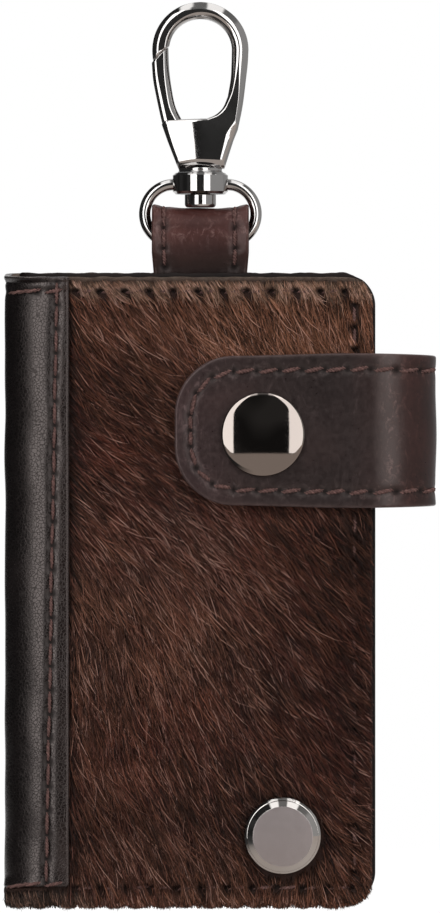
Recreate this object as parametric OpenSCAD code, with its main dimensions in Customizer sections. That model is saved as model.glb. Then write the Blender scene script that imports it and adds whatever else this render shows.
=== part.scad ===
// Key case of haired hide with a leather spine band, a snap strap, a swivel snap hook and a key post.
// Millimetres. X is to the right, Y away from the front, Z up.
// The origin is the inside top of the hook eye, where the case hangs, on the hook's own axis.

/* [Case] */
// Height of the covers
case_h = 101.9; // [90:0.1:115]
// Width over the spine and the covers
case_w = 60.2; // [54:0.1:68]
// How far the middle of the case lies to the left of the hook's axis
case_shift = 1.8; // [0:0.1:4]
// Drop from the bottom of the hook's body to the top of the covers
case_drop = 17.1; // [16.7:0.1:19.7]
// Clear depth between the two linings, where the keys lie
key_space = 6.2; // [5.6:0.1:9]
// Thickness of the lining leather
lining_t = 0.9; // [0.6:0.1:1.4]
// Thickness of the haired hide, without its hair
hide_t = 1.4; // [1:0.1:2]
// Radius of the two free corners of each cover
corner_r = 5.2; // [3:0.1:8]
// Strip of lining that shows past the hide's free edge
lining_show = 0.6; // [0.3:0.1:1.2]

/* [Spine band] */
// Thickness of the smooth leather band over the spine
band_t = 1.2; // [0.8:0.1:1.8]
// Width of the band on each cover, measured from the outside of the spine
band_w = 10.7; // [9:0.1:14]
// How far the band stops short of the bottom edge
band_short = 2.9; // [1:0.1:5]

/* [Strap] */
// Width of the strap
strap_w = 24.1; // [20:0.1:27]
// Thickness of the strap's outer leather
strap_outer_t = 1.2; // [0.8:0.1:1.6]
// Thickness of the strap's lining leather
strap_lining_t = 1.0; // [0.8:0.1:1.4]
// Drop from the top of the covers to the strap's middle
strap_drop = 25.4; // [22:0.1:60]
// How far the strap's loop stands out past the covers' free edge
loop_reach = 9.9; // [9:0.1:14]
// How far the strap's end reaches over the front cover, from the free edge
strap_front_reach = 32.4; // [28:0.1:38]
// How far the strap is sewn along the back cover, from the free edge
strap_back_reach = 34; // [26:0.5:40]
// Radius of the corners of the strap's two ends
strap_end_r = 9.5; // [6:0.1:10]
// Room between the front cover and the strap, which the hair fills
strap_gap = 1.3; // [1.1:0.1:2]

/* [Key post] */
// Distance of the post from the covers' free edge
post_inset = 15; // [12:0.1:20]
// Distance of the post from the covers' bottom edge
post_rise = 11.1; // [9:0.1:16]
// Outer radius of the post's barrel, which the keys hang on
barrel_r = 2.5; // [2.2:0.05:3]
// Radius of the post's head at the back
post_head_r = 5.5; // [4.5:0.1:6.5]
// Radius of the knob's base
knob_base_r = 5.7; // [5:0.1:6]
// Radius of the knob's front face
knob_face_r = 5; // [4:0.1:5.4]
// Height of the knob
knob_h = 2.6; // [1.5:0.1:4]
// Radius of the flange washer under the knob
flange_r = 6.2; // [6:0.1:8]
// How many spacer washers fill the key space
spacer_count = 5; // [2:1:5]

/* [Snap] */
// Radius of the snap's polished cap
cap_r = 6.8; // [5:0.1:8]
// Height of the cap's dome
cap_h = 1.8; // [1:0.1:2.5]
// Distance of the snap from the strap's end
snap_inset = 14.2; // [11:0.1:18]

/* [Hang tab] */
// Width of the leather tab
tab_w = 15.2; // [12:0.1:15.2]
// Thickness of the tab's leather
tab_t = 1.4; // [1:0.1:1.4]
// How far the tab's two tails run down between the covers
tab_tail = 12.6; // [8:0.1:13]

/* [Hook] */
// Half width of the hook, over its bow
hook_half_w = 7.8; // [7.6:0.05:8.4]
// Half width of the hook's eye
eye_half_w = 5.1; // [4.8:0.05:5.3]
// Depth of the hook's eye
eye_depth = 16.2; // [16:0.05:16.6]
// Length from the inside top of the eye to the bottom of the hook's body
hook_len = 24.3; // [24.1:0.05:24.9]
// Thickness of the bow, front to back
bow_t = 3.4; // [3:0.1:4]
// Thickness of the hook's body, front to back
hook_body_t = 4.6; // [4.4:0.1:5.4]

/* [Swivel ring] */
// Radius of the collar
collar_r = 4.5; // [4.3:0.05:5]
// Height of the collar
collar_h = 3.4; // [3:0.1:3.5]
// Radius of the ring's wire
ring_wire_r = 0.93; // [0.8:0.01:1]
// Radius of the ring's round ends, to the middle of the wire
ring_end_r = 4.8; // [4.7:0.01:4.9]
// Length of the ring's straight bar
ring_bar = 8.46; // [8.3:0.01:8.8]

/* [Stitching] */
// Distance from one stitch to the next
stitch_pitch = 3.9; // [3:0.1:5]
// Length of one stitch
stitch_len = 3; // [2:0.1:3.5]
// Width of the thread
thread_w = 0.6; // [0.4:0.05:0.8]
// Distance of the seams from the covers' edges
seam_inset = 2.8; // [2.4:0.1:3.6]

/* [Hidden] */
$fn = 72;

// Overrun of every cut
cut = 1;
// Play of a pin in its bore, and of faces that turn on each other
pin_play = 0.05;
face_play = 0.1;
fixed_play = 0.02;
// Height that a thread stands proud of the leather
thread_h = 0.35;

// Case: edges and layers
case_left = -case_shift - case_w / 2;
case_right = -case_shift + case_w / 2;
case_top = -hook_len - case_drop;
case_bottom = case_top - case_h;
hide_right = case_right - lining_show;
spine_corner_r = 2;
spine_in_r = 1.6;
half_space = key_space / 2;
lining_out = lining_t;
hide_out = lining_out + hide_t;
band_out = hide_out + band_t;
lining_face = half_space + lining_out;
hide_face = half_space + hide_out;
band_face = half_space + band_out;
spine_in_x = case_left + band_out;
band_edge = case_left + band_w;

// Strap: levels and loop, seen from above
strap_t = strap_outer_t + strap_lining_t;
strap_z = case_top - strap_drop;
strap_bottom = strap_z - strap_w / 2;
strap_top = strap_z + strap_w / 2;
strap_in_y = -hide_face - strap_gap;
strap_out_y = strap_in_y - strap_t;
strap_back_y = hide_face + strap_t;
loop_r = (strap_back_y - strap_out_y) / 2;
loop_y = (strap_back_y + strap_out_y) / 2;
loop_x = case_right + loop_reach - loop_r;
strap_end_x = case_right - strap_front_reach;
anchor_end_x = case_right - strap_back_reach;
crease_gap = 0.1;

// Key post
post_x = case_right - post_inset;
post_z = case_bottom + post_rise;
screw_r = 1.5;
screw_len = 7.5;
post_head_t = 1.5;
post_slot_w = 1;
post_slot_depth = 0.6;
post_hole_r = barrel_r + face_play;
flange_t = 0.8;
flange_edge = 0.25;
knob_edge = 0.35;
knob_y = -hide_face - flange_t - pin_play;
spacer_r = 5;
spacer_t = (key_space - (spacer_count + 1) * pin_play) / spacer_count;

// Snap
snap_x = strap_end_x + snap_inset;
snap_drop = 0.6;
snap_z = strap_z - snap_drop;
stud_base_r = 4.6;
stud_base_t = 0.6;
stud_neck_r = 1.55;
stud_r = 1.9;
stud_tip_r = 1.4;
stud_h = 1.3;
rivet_r = 4;
rivet_t = 0.5;
rivet_shank_r = 1.45;
socket_flange_r = 4.6;
socket_flange_t = 0.5;
socket_r = 3.3;
socket_in_r = 2.8;
socket_depth = 1.8;
socket_floor_t = 0.3;
snap_wire_r = 0.2;
cap_post_r = 2;
cap_rim = 0.35;
socket_mouth_y = strap_in_y + socket_flange_t;
socket_end_y = socket_mouth_y - socket_depth - socket_floor_t;

// Swivel: levels from the hook's body down
neck_r = 3.86;
neck_h = 0.6;
collar_edge = 0.4;
swivel_r = 1.6;
swivel_depth = 3.2;
swivel_head_r = 2.55;
swivel_head_h = 2.1;
neck_bottom = -hook_len - neck_h;
collar_top = neck_bottom - face_play;
collar_bottom = collar_top - collar_h;
swivel_head_top = collar_bottom - face_play;
swivel_head_bottom = swivel_head_top - swivel_head_h;
ring_rise = 1.55;
ring_z = collar_bottom + ring_rise - ring_end_r;
bar_z = ring_z - ring_end_r;

// Hang tab: the loop round the ring's bar, seen from the side
tab_out_r = 3.5;
tab_in_r = tab_out_r - tab_t;
tab_clear = 0.9;
tab_z = swivel_head_bottom - face_play - tab_out_r;
tab_taper_top = bar_z - ring_wire_r - tab_clear;
tab_taper_end = case_top + tab_clear;
tab_bottom = case_top - tab_tail;
tab_seam_inset = 2;

// Seams of the spine band, and how far upright seams stop short of the crossing ones
band_seam_inset = 2.6;
seam_end = 4.5;

// Straight steps of the hook's half circles and of the cap's dome
arc_steps = 36;
dome_steps = 8;

// Hook: outlines as shares of its half width and length, from the front, clockwise from the right
bow_r = hook_half_w;
eye_z = -eye_half_w;
bow_side_shares = [[0.97, 0.24], [0.95, 0.4], [0.88, 0.58], [0.76, 0.77], [0.63, 0.88], [0.5, 1]];
body_left_shares = [[-0.46, 1], [-0.78, 0.75], [-0.82, 0.69]];
eye_side_shares = [[0.98, 0.55], [0.91, 0.73], [0.73, 0.88], [0.49, 0.96], [0.25, 1], [-0.57, 1]];
body_front_shares = [[0.68, 0.7], [0.66, 0.76], [0.4, 0.96], [-0.36, 0.96], [-0.66, 0.76], [-0.7, 0.72]];
body_back_top_share = 0.67;
nose_shares = [[-0.6, 0.17], [-0.68, 0.175], [-0.82, 0.19], [-0.88, 0.26], [-0.94, 0.275]];
gate_shares = [[-0.66, 0.205], [-0.795, 0.205], [-0.855, 0.275], [-0.91, 0.295], [-1.01, 0.3],
    [-0.93, 0.5], [-0.8, 0.69], [-0.7, 0.755], [-0.46, 0.755], [-0.38, 0.66], [-0.52, 0.585],
    [-0.6, 0.46], [-0.65, 0.33]];

// Gate and its pivot
gate_t = 2.4;
gate_slot_t = gate_t + 2 * face_play;
pivot_shares = [-0.56, 0.76];
pivot_x = pivot_shares[0] * hook_half_w;
pivot_z = -pivot_shares[1] * hook_len;
gate_root_r = 1.3;
gate_pin_r = 0.6;
spring_wall = 0.4;
slot_share = -0.17;
slot_right = slot_share * hook_half_w;
slot_bottom = pivot_z - gate_root_r - spring_wall;
spring_t = 0.8;
spring_y = gate_t / 2 - spring_t;

// A flat shape drawn in X and Z, made solid from one depth to another
module slab(y_low, y_high) {
    translate([0, y_high, 0]) rotate([90, 0, 0]) linear_extrude(y_high - y_low) children();
}

// A flat shape drawn in Y and Z, made solid from one side to another
module side_slab(x_low, x_high) {
    translate([x_low, 0, 0]) rotate([90, 0, 90]) linear_extrude(x_high - x_low) children();
}

// A round bar along Y
module rod(x, z, y_low, y_high, r) {
    translate([x, y_high, z]) rotate([90, 0, 0]) cylinder(y_high - y_low, r, r);
}

// A turned piece whose profile is radius against distance towards the front
module turned(x, z) {
    translate([x, 0, z]) rotate([90, 0, 0]) rotate_extrude() children();
}

// A rectangle with one corner radius at its left and one at its right
module round_rect(x_low, z_low, x_high, z_high, r_left, r_right) {
    height = z_high - z_low;
    translate([x_low + r_left, z_low]) square([x_high - r_right - x_low - r_left, height]);
    translate([x_low, z_low + r_left]) square([r_left, height - 2 * r_left]);
    translate([x_high - r_right, z_low + r_right]) square([r_right, height - 2 * r_right]);
    for (z = [z_low + r_left, z_high - r_left]) translate([x_low + r_left, z]) circle(r_left);
    for (z = [z_low + r_right, z_high - r_right]) translate([x_high - r_right, z]) circle(r_right);
}

// The case seen from above, filled out to one layer's outer face
module case_fill(out, right) {
    corner_x = spine_in_x + spine_in_r;
    corner_y = half_space - spine_in_r;
    translate([corner_x, -half_space - out]) square([right - corner_x, 2 * (half_space + out)]);
    translate([spine_in_x - out, -corner_y]) square([spine_in_r + out, 2 * corner_y]);
    for (y = [-corner_y, corner_y]) translate([corner_x, y]) circle(spine_in_r + out);
}

// One leather layer folded round the spine
module folded_layer(inner, outer, right, z_low, z_high) {
    translate([0, 0, z_low]) linear_extrude(z_high - z_low) difference() {
        case_fill(outer, right);
        case_fill(inner, right + cut);
    }
}

// A row of stitches lying on a face; side is -1 for the front and 1 for the back
module stitch_row(x_low, x_high, z, face, side) {
    count = floor((x_high - x_low) / stitch_pitch);
    for (i = [0 : count - 1])
        translate([x_low + (i + 0.5) * (x_high - x_low) / count - stitch_len / 2,
            side > 0 ? face : -face - thread_h, z - thread_w / 2])
            cube([stitch_len, thread_h, thread_w]);
}

// A column of stitches lying on a face, from one level down to another
module stitch_column(x, z_low, z_high, face, side) {
    count = floor((z_high - z_low) / stitch_pitch);
    for (i = [0 : count - 1])
        translate([x - thread_w / 2, side > 0 ? face : -face - thread_h,
            z_low + (i + 0.5) * (z_high - z_low) / count - stitch_len / 2])
            cube([thread_w, thread_h, stitch_len]);
}

// Points of a half circle, from the right over the top to the left
function top_arc(r, z) = [for (i = [0 : arc_steps])
    [r * cos(180 * i / arc_steps), z + r * sin(180 * i / arc_steps)]];

// Points given as shares of a width and a length
function shared_points(shares, w, len) = [for (s = shares) [s[0] * w, -s[1] * len]];

// The same points from last to first
function reversed(points) = [for (i = [1 : len(points)]) points[len(points) - i]];

module hook_outline() {
    polygon(concat(top_arc(bow_r, eye_z),
        shared_points(reversed(body_left_shares), hook_half_w, hook_len),
        shared_points(reversed(bow_side_shares), hook_half_w, hook_len)));
}

module eye_outline() {
    polygon(concat(top_arc(eye_half_w, eye_z),
        shared_points(reversed(eye_side_shares), eye_half_w, eye_depth)));
}

// What the gate leaves open between the nose and the body
module gate_opening() {
    left = -hook_half_w - cut;
    body_corner = shared_points(body_left_shares, hook_half_w, hook_len)[2];
    eye_corner = shared_points(eye_side_shares, eye_half_w, eye_depth)[5];
    nose = shared_points(nose_shares, hook_half_w, hook_len);
    polygon(concat(nose, [[left, nose[4][1]], [left, body_corner[1]], body_corner, eye_corner]));
}

module bevelled_body() {
    full = shared_points(concat(bow_side_shares, body_left_shares), hook_half_w, hook_len);
    top = -body_back_top_share * hook_len;
    hull() {
        slab(-bow_t / 2, bow_t / 2) intersection() {
            polygon(full);
            translate([-hook_half_w, -hook_len]) square([2 * hook_half_w, hook_len + top]);
        }
        slab(-hook_body_t / 2, hook_body_t / 2)
            polygon(shared_points(body_front_shares, hook_half_w, hook_len));
    }
}

module hook_body() {
    color("silver") difference() {
        union() {
            slab(-bow_t / 2, bow_t / 2) difference() {
                hook_outline();
                eye_outline();
                gate_opening();
            }
            bevelled_body();
            translate([0, 0, neck_bottom]) cylinder(neck_h + face_play, neck_r, neck_r);
        }
        slab(-gate_slot_t / 2, gate_slot_t / 2)
            translate([-hook_half_w - cut, slot_bottom])
                square([slot_right + hook_half_w + cut, -eye_depth / 2 - slot_bottom]);
        rod(pivot_x, pivot_z, -hook_body_t, hook_body_t, gate_pin_r + fixed_play);
        translate([0, 0, neck_bottom - cut])
            cylinder(cut + neck_h + swivel_depth + face_play, swivel_r + fixed_play, swivel_r + fixed_play);
    }
}

module gate() {
    color("gainsboro") difference() {
        union() {
            slab(-gate_t / 2, gate_t / 2) polygon(shared_points(gate_shares, hook_half_w, hook_len));
            rod(pivot_x, pivot_z, -gate_t / 2, gate_t / 2, gate_root_r);
        }
        rod(pivot_x, pivot_z, -gate_t, gate_t, gate_pin_r + pin_play);
        rod(pivot_x, pivot_z, spring_y - face_play, gate_t, gate_root_r + face_play);
        slab(spring_y - face_play, gate_t) translate([-hook_half_w - cut, slot_bottom])
            square([hook_half_w, pivot_z - slot_bottom]);
    }
}

module gate_pin() {
    reach = hook_body_t / 2 - face_play;
    color("dimgray") rod(pivot_x, pivot_z, -reach, reach, gate_pin_r);
}

// The gate's wound spring, as a plain sleeve on the pin inside the hook's body
module gate_spring() {
    color("slategray") difference() {
        rod(pivot_x, pivot_z, spring_y, gate_t / 2, gate_pin_r + pin_play + spring_wall);
        rod(pivot_x, pivot_z, -gate_t, gate_t, gate_pin_r + pin_play);
    }
}

module swivel_pin() {
    shank_h = swivel_depth - hook_len - swivel_head_bottom;
    color("silver") translate([0, 0, swivel_head_bottom]) rotate_extrude() polygon([[0, 0],
        [swivel_head_r - collar_edge, 0], [swivel_head_r, collar_edge], [swivel_head_r, swivel_head_h],
        [swivel_r, swivel_head_h], [swivel_r, shank_h], [0, shank_h]]);
}

// One round end of the ring, from its bar up into the collar
module ring_end() {
    translate([ring_bar / 2, 0, ring_z]) rotate([90, 0, 0]) rotate([0, 0, -90])
        rotate_extrude(angle = 180) translate([ring_end_r, 0]) circle(ring_wire_r, $fn = 32);
}

module swivel_ring() {
    color("silver") difference() {
        union() {
            translate([0, 0, collar_bottom]) rotate_extrude() polygon([[0, 0],
                [collar_r - collar_edge, 0], [collar_r, collar_edge], [collar_r, collar_h - collar_edge],
                [collar_r - collar_edge, collar_h], [0, collar_h]]);
            ring_end();
            mirror([1, 0, 0]) ring_end();
            translate([-ring_bar / 2, 0, bar_z]) rotate([0, 90, 0])
                cylinder(ring_bar, ring_wire_r, ring_wire_r, $fn = 32);
        }
        translate([0, 0, collar_bottom - cut])
            cylinder(collar_h + 2 * cut, swivel_r + pin_play, swivel_r + pin_play);
    }
}

// The tab seen from the side, filled to a half depth at its loop and at its tails
module tab_fill(loop, tail, bottom) {
    translate([0, tab_z]) circle(loop);
    polygon([[-loop, tab_z], [-loop, tab_taper_top], [-tail, tab_taper_end], [-tail, bottom],
        [tail, bottom], [tail, tab_taper_end], [loop, tab_taper_top], [loop, tab_z]]);
}

module hang_tab() {
    color("saddlebrown") side_slab(-tab_w / 2, tab_w / 2) difference() {
        tab_fill(tab_out_r, half_space, tab_bottom);
        tab_fill(tab_in_r, half_space - tab_t, tab_bottom - cut);
    }
}

module hang_tab_thread() {
    color("sienna") for (x = [-tab_w / 2 + tab_seam_inset, tab_w / 2 - tab_seam_inset])
        for (side = [-1, 1]) stitch_column(x, tab_taper_top, tab_z, tab_out_r, side);
}

module outer_hide() {
    color("saddlebrown") difference() {
        intersection() {
            folded_layer(lining_out, hide_out, hide_right, case_bottom, case_top);
            slab(-hide_face - cut, hide_face + cut)
                round_rect(spine_in_x - hide_out, case_bottom, hide_right, case_top,
                    spine_corner_r, corner_r - lining_show);
        }
        rod(post_x, post_z, -hide_face - cut, hide_face + cut, post_hole_r);
        rod(snap_x, snap_z, -hide_face - cut, -half_space, rivet_shank_r + pin_play);
        rod(snap_x, snap_z, -lining_face - rivet_t - pin_play, -lining_face + pin_play, rivet_r + pin_play);
    }
}

module lining() {
    color("maroon") difference() {
        intersection() {
            folded_layer(0, lining_out, case_right, case_bottom, case_top);
            slab(-hide_face, hide_face)
                round_rect(spine_in_x - lining_out, case_bottom, case_right, case_top,
                    spine_corner_r, corner_r);
        }
        rod(post_x, post_z, -hide_face, hide_face, post_hole_r);
    }
}

module spine_band() {
    color("black") intersection() {
        folded_layer(hide_out, band_out, band_edge, case_bottom + band_short, case_top);
        slab(-band_face - cut, band_face + cut)
            round_rect(case_left, case_bottom + band_short, band_edge + spine_corner_r, case_top,
                spine_corner_r, spine_corner_r);
    }
}

module spine_thread() {
    color("rosybrown") for (side = [-1, 1])
        stitch_column(band_edge - band_seam_inset, case_bottom + band_short + seam_inset,
            case_top - seam_end, band_face, side);
}

module cover_thread() {
    seam_x = case_right - seam_inset - thread_w;
    seam_top = case_top - seam_inset;
    seam_bottom = case_bottom + seam_inset;
    color("rosybrown") for (side = [-1, 1]) {
        stitch_row(case_left + spine_in_r + band_out, band_edge - thread_w, seam_top, band_face, side);
        stitch_row(band_edge + thread_w, hide_right - corner_r, seam_top, hide_face, side);
        stitch_row(band_edge + thread_w, hide_right - corner_r, seam_bottom, hide_face, side);
        stitch_column(seam_x, strap_top + stitch_pitch / 2, case_top - corner_r, hide_face, side);
        stitch_column(seam_x, case_bottom + corner_r, strap_bottom - stitch_pitch / 2, hide_face, side);
    }
}

// The strap's loop and front end, between two levels counted from its outer face
module strap_layer(outer, inner) {
    intersection() {
        translate([0, 0, strap_bottom]) linear_extrude(strap_w) {
            translate([strap_end_x, strap_out_y + outer]) square([loop_x - strap_end_x, inner - outer]);
            translate([loop_x, loop_y]) difference() {
                circle(loop_r - outer);
                circle(loop_r - inner);
                translate([-2 * loop_r, -2 * loop_r]) square([2 * loop_r, 4 * loop_r]);
                translate([-cut, 0]) square([cut + crease_gap, loop_r + cut]);
            }
        }
        slab(strap_out_y - cut, strap_back_y + cut)
            round_rect(strap_end_x, strap_bottom, loop_x + loop_r + 2 * cut, strap_top, strap_end_r, cut);
    }
}

module strap_outer() {
    color("saddlebrown") difference() {
        strap_layer(0, strap_outer_t);
        rod(snap_x, snap_z, strap_out_y - cut, strap_in_y, cap_post_r + fixed_play);
        rod(snap_x, snap_z, socket_end_y, strap_in_y, socket_r + pin_play);
    }
}

module strap_lining() {
    color("maroon") difference() {
        strap_layer(strap_outer_t, strap_t);
        rod(snap_x, snap_z, strap_out_y, strap_in_y + cut, socket_r + pin_play);
    }
}

// A level of the strap where it is sewn down along the back cover
module anchor_layer(near, far) {
    slab(near, far) intersection() {
        round_rect(anchor_end_x, strap_bottom, loop_x + 2 * cut, strap_top, strap_end_r, cut);
        translate([anchor_end_x, strap_bottom]) square([loop_x - anchor_end_x, strap_w]);
    }
}

module strap_anchor() {
    color("saddlebrown") anchor_layer(hide_face + strap_lining_t, strap_back_y);
}

module strap_anchor_lining() {
    color("maroon") anchor_layer(hide_face, hide_face + strap_lining_t);
}

module strap_anchor_thread() {
    color("rosybrown") {
        for (z = [strap_bottom + seam_inset, strap_top - seam_inset])
            stitch_row(anchor_end_x + strap_end_r, case_right - seam_inset, z, strap_back_y, 1);
        for (x = [anchor_end_x + seam_inset, case_right - seam_inset])
            stitch_column(x, strap_bottom + seam_end, strap_top - seam_end, strap_back_y, 1);
    }
}

module strap_thread() {
    color("rosybrown") {
        for (z = [strap_bottom + seam_inset, strap_top - seam_inset])
            stitch_row(strap_end_x + strap_end_r, loop_x, z, -strap_out_y, -1);
        stitch_column(strap_end_x + seam_inset, strap_bottom + strap_end_r - seam_inset,
            strap_top - strap_end_r + seam_inset, -strap_out_y, -1);
    }
}

module snap_cap() {
    dome = [for (i = [0 : dome_steps])
        [cap_r * cos(90 * i / dome_steps), cap_rim + (cap_h - cap_rim) * sin(90 * i / dome_steps)]];
    color("white") union() {
        translate([0, strap_out_y, 0]) turned(snap_x, snap_z) polygon(concat([[0, 0], [cap_r, 0]], dome));
        rod(snap_x, snap_z, strap_out_y, socket_end_y, cap_post_r);
    }
}

module snap_socket() {
    color("silver") difference() {
        union() {
            rod(snap_x, snap_z, strap_in_y, socket_mouth_y, socket_flange_r);
            rod(snap_x, snap_z, socket_end_y, strap_in_y, socket_r);
        }
        rod(snap_x, snap_z, socket_mouth_y - socket_depth, socket_mouth_y + cut, socket_in_r);
    }
}

// The wire ring that grips the stud, held in the socket's mouth
module snap_spring() {
    color("dimgray") translate([0, strap_in_y, 0]) turned(snap_x, snap_z)
        translate([socket_in_r - snap_wire_r - fixed_play, 0]) circle(snap_wire_r, $fn = 24);
}

module snap_stud() {
    color("silver") translate([0, -hide_face, 0]) turned(snap_x, snap_z) polygon([[0, 0],
        [stud_base_r, 0], [stud_base_r, stud_base_t / 2], [stud_base_r - stud_base_t / 2, stud_base_t],
        [stud_neck_r, stud_base_t], [stud_r, stud_base_t + stud_h / 2],
        [stud_tip_r, stud_base_t + stud_h], [0, stud_base_t + stud_h]]);
}

module snap_rivet() {
    color("silver") {
        rod(snap_x, snap_z, -lining_face - rivet_t, -lining_face, rivet_r);
        rod(snap_x, snap_z, -hide_face, -lining_face - rivet_t / 2, rivet_shank_r);
    }
}

module post_barrel() {
    post_end = hide_face + post_head_t;
    color("silver") difference() {
        union() {
            rod(post_x, post_z, -hide_face + face_play, hide_face + post_head_t / 2, barrel_r);
            rod(post_x, post_z, hide_face, post_end, post_head_r);
        }
        rod(post_x, post_z, -hide_face - cut, hide_face - hide_t, screw_r + pin_play);
        translate([post_x - post_head_r - cut, post_end - post_slot_depth, post_z - post_slot_w / 2])
            cube([2 * (post_head_r + cut), post_slot_depth + cut, post_slot_w]);
    }
}

module knob_washer() {
    color("silver") difference() {
        translate([0, -hide_face, 0]) turned(post_x, post_z) polygon([[0, 0], [flange_r, 0],
            [flange_r, flange_t - flange_edge], [flange_r - flange_edge, flange_t], [0, flange_t]]);
        rod(post_x, post_z, -hide_face - flange_t - cut, -hide_face + cut, screw_r + pin_play);
    }
}

module knob() {
    color("gray") difference() {
        translate([0, knob_y, 0]) turned(post_x, post_z) polygon([[0, 0], [knob_base_r, 0],
            [knob_base_r, knob_edge], [knob_face_r + knob_edge, knob_h - 2 * knob_edge],
            [knob_face_r, knob_h], [0, knob_h]]);
        rod(post_x, post_z, knob_y - knob_h / 2, knob_y + cut, screw_r + fixed_play);
    }
}

module knob_screw() {
    screw_y = knob_y - knob_h / 2;
    color("dimgray") rod(post_x, post_z, screw_y + fixed_play, screw_y + screw_len, screw_r);
}

module key_spacers() {
    color("black") for (i = [0 : spacer_count - 1]) {
        y = -half_space + pin_play + i * (spacer_t + pin_play);
        difference() {
            rod(post_x, post_z, y, y + spacer_t, spacer_r);
            rod(post_x, post_z, y - cut, y + spacer_t + cut, barrel_r + face_play);
        }
    }
}

hook_body();
gate();
gate_pin();
gate_spring();
swivel_pin();
swivel_ring();
hang_tab();
hang_tab_thread();
outer_hide();
lining();
spine_band();
spine_thread();
cover_thread();
strap_anchor();
strap_anchor_lining();
strap_anchor_thread();
strap_outer();
strap_lining();
strap_thread();
snap_cap();
snap_socket();
snap_spring();
snap_stud();
snap_rivet();
post_barrel();
knob_washer();
knob();
knob_screw();
key_spacers();
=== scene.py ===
import bpy, bmesh, math
import numpy as np
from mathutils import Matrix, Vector


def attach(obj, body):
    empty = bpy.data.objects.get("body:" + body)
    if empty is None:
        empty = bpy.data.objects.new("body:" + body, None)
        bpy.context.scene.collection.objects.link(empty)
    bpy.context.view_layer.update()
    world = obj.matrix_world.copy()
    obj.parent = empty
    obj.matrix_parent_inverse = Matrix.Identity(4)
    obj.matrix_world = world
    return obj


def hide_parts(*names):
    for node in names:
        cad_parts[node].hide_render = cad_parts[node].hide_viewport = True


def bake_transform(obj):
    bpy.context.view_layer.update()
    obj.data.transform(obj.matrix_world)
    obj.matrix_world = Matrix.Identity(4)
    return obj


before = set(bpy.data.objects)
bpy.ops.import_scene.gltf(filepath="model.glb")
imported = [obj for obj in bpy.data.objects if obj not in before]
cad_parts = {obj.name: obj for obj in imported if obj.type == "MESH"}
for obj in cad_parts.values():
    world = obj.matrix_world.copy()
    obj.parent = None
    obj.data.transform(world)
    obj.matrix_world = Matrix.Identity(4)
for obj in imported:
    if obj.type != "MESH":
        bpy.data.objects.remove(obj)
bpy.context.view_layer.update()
rng = np.random.default_rng(7)

# Lengths are in millimetres, and MM makes metres of them. X runs to the right seen from the front, Y away
# from the front cover and Z up. A leather's depths count outwards from the inner face of what it follows.
MM = 0.001
RIGHT, HIDE_RIGHT = 28.3, 27.7
TOP, BOTTOM = -41.4, -143.3
# Half the room between the covers, and how far out the faces of the lining, the hide and the band are
HALF_GAP = 3.1
LINING_FACE, HIDE_FACE, BAND_FACE = 0.9, 2.3, 3.5
CORNER, LINING_CORNER = 4.6, 5.2
FOLD_X, FOLD_R = -26.8, 1.6
FOLD_Y = HALF_GAP - FOLD_R
SEAM_TOP, SEAM_LOW, SEAM_LEFT, SEAM_RIGHT = -44.3, -140.6, -20.2, 24.9
BAND_EDGE, BAND_BOTTOM = -21.2, -140.4
STRAP_LOW, STRAP_HIGH, STRAP_END, ANCHOR_END = -78.85, -54.75, -4.1, -5.7
STRAP_SKIN, STRAP_THICK, STRAP_CORNER, STRAP_INSET = 1.0, 2.2, 9.5, 2.5
LOOP_X, LOOP_Y, LOOP_R = 29.95, -0.65, 6.05
STRAP_BACK, CREASE_X = 5.4, 28.0
SNAP, POST = (10.1, -67.4), (13.3, -132.2)
PITCH = 3.9
# What no seam or worn edge reaches, and how far off an end is that keeps its thickness
FAR_OFF, ENDLESS = 9, 1000


# Materials
def rgba(shade):
    return (*shade, 1) if isinstance(shade, tuple) else (shade, shade, shade, 1)


def scaled(colour, factor):
    return tuple(c * factor for c in colour)


class Nodes:
    """Builds a node tree; what an input gets may be a value or another node's output."""
    def __init__(self, tree):
        self.tree = tree

    def node(self, kind, inputs=(), **values):
        n = self.tree.nodes.new(kind)
        for key, value in values.items():
            setattr(n, key, value)
        for key, value in inputs:
            self.put(n, key, value)
        return n

    def put(self, node, key, value):
        socket = node.inputs[key]
        if isinstance(value, bpy.types.NodeSocket):
            self.tree.links.new(value, socket)
        else:
            socket.default_value = rgba(value) if socket.type == "RGBA" else value

    def ramp(self, fac, *stops):
        n = self.node("ShaderNodeValToRGB", [("Fac", fac)])
        elements = n.color_ramp.elements
        while len(elements) < len(stops):
            elements.new(0.5)
        for element, (place, shade) in zip(elements, stops):
            element.position = place
            element.color = rgba(shade)
        return n.outputs["Color"]

    def mix(self, fac, a, b, blend="MIX"):
        inputs = [(0, fac), (6, a), (7, b)]
        return self.node("ShaderNodeMix", inputs, data_type="RGBA", blend_type=blend).outputs[2]

    def math(self, op, a, b=0.0, c=0.0, clamp=False):
        return self.node("ShaderNodeMath", [(0, a), (1, b), (2, c)], operation=op, use_clamp=clamp).outputs[0]

    def times(self, a, b):
        return self.math("MULTIPLY", a, b, clamp=True)

    def share(self, way, scale=0.5):
        """A coordinate about nought as a share from 0 to 1."""
        return self.math("MULTIPLY_ADD", way, scale, 0.5)

    def axes(self, coord):
        return self.node("ShaderNodeSeparateXYZ", [(0, coord)]).outputs


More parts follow.
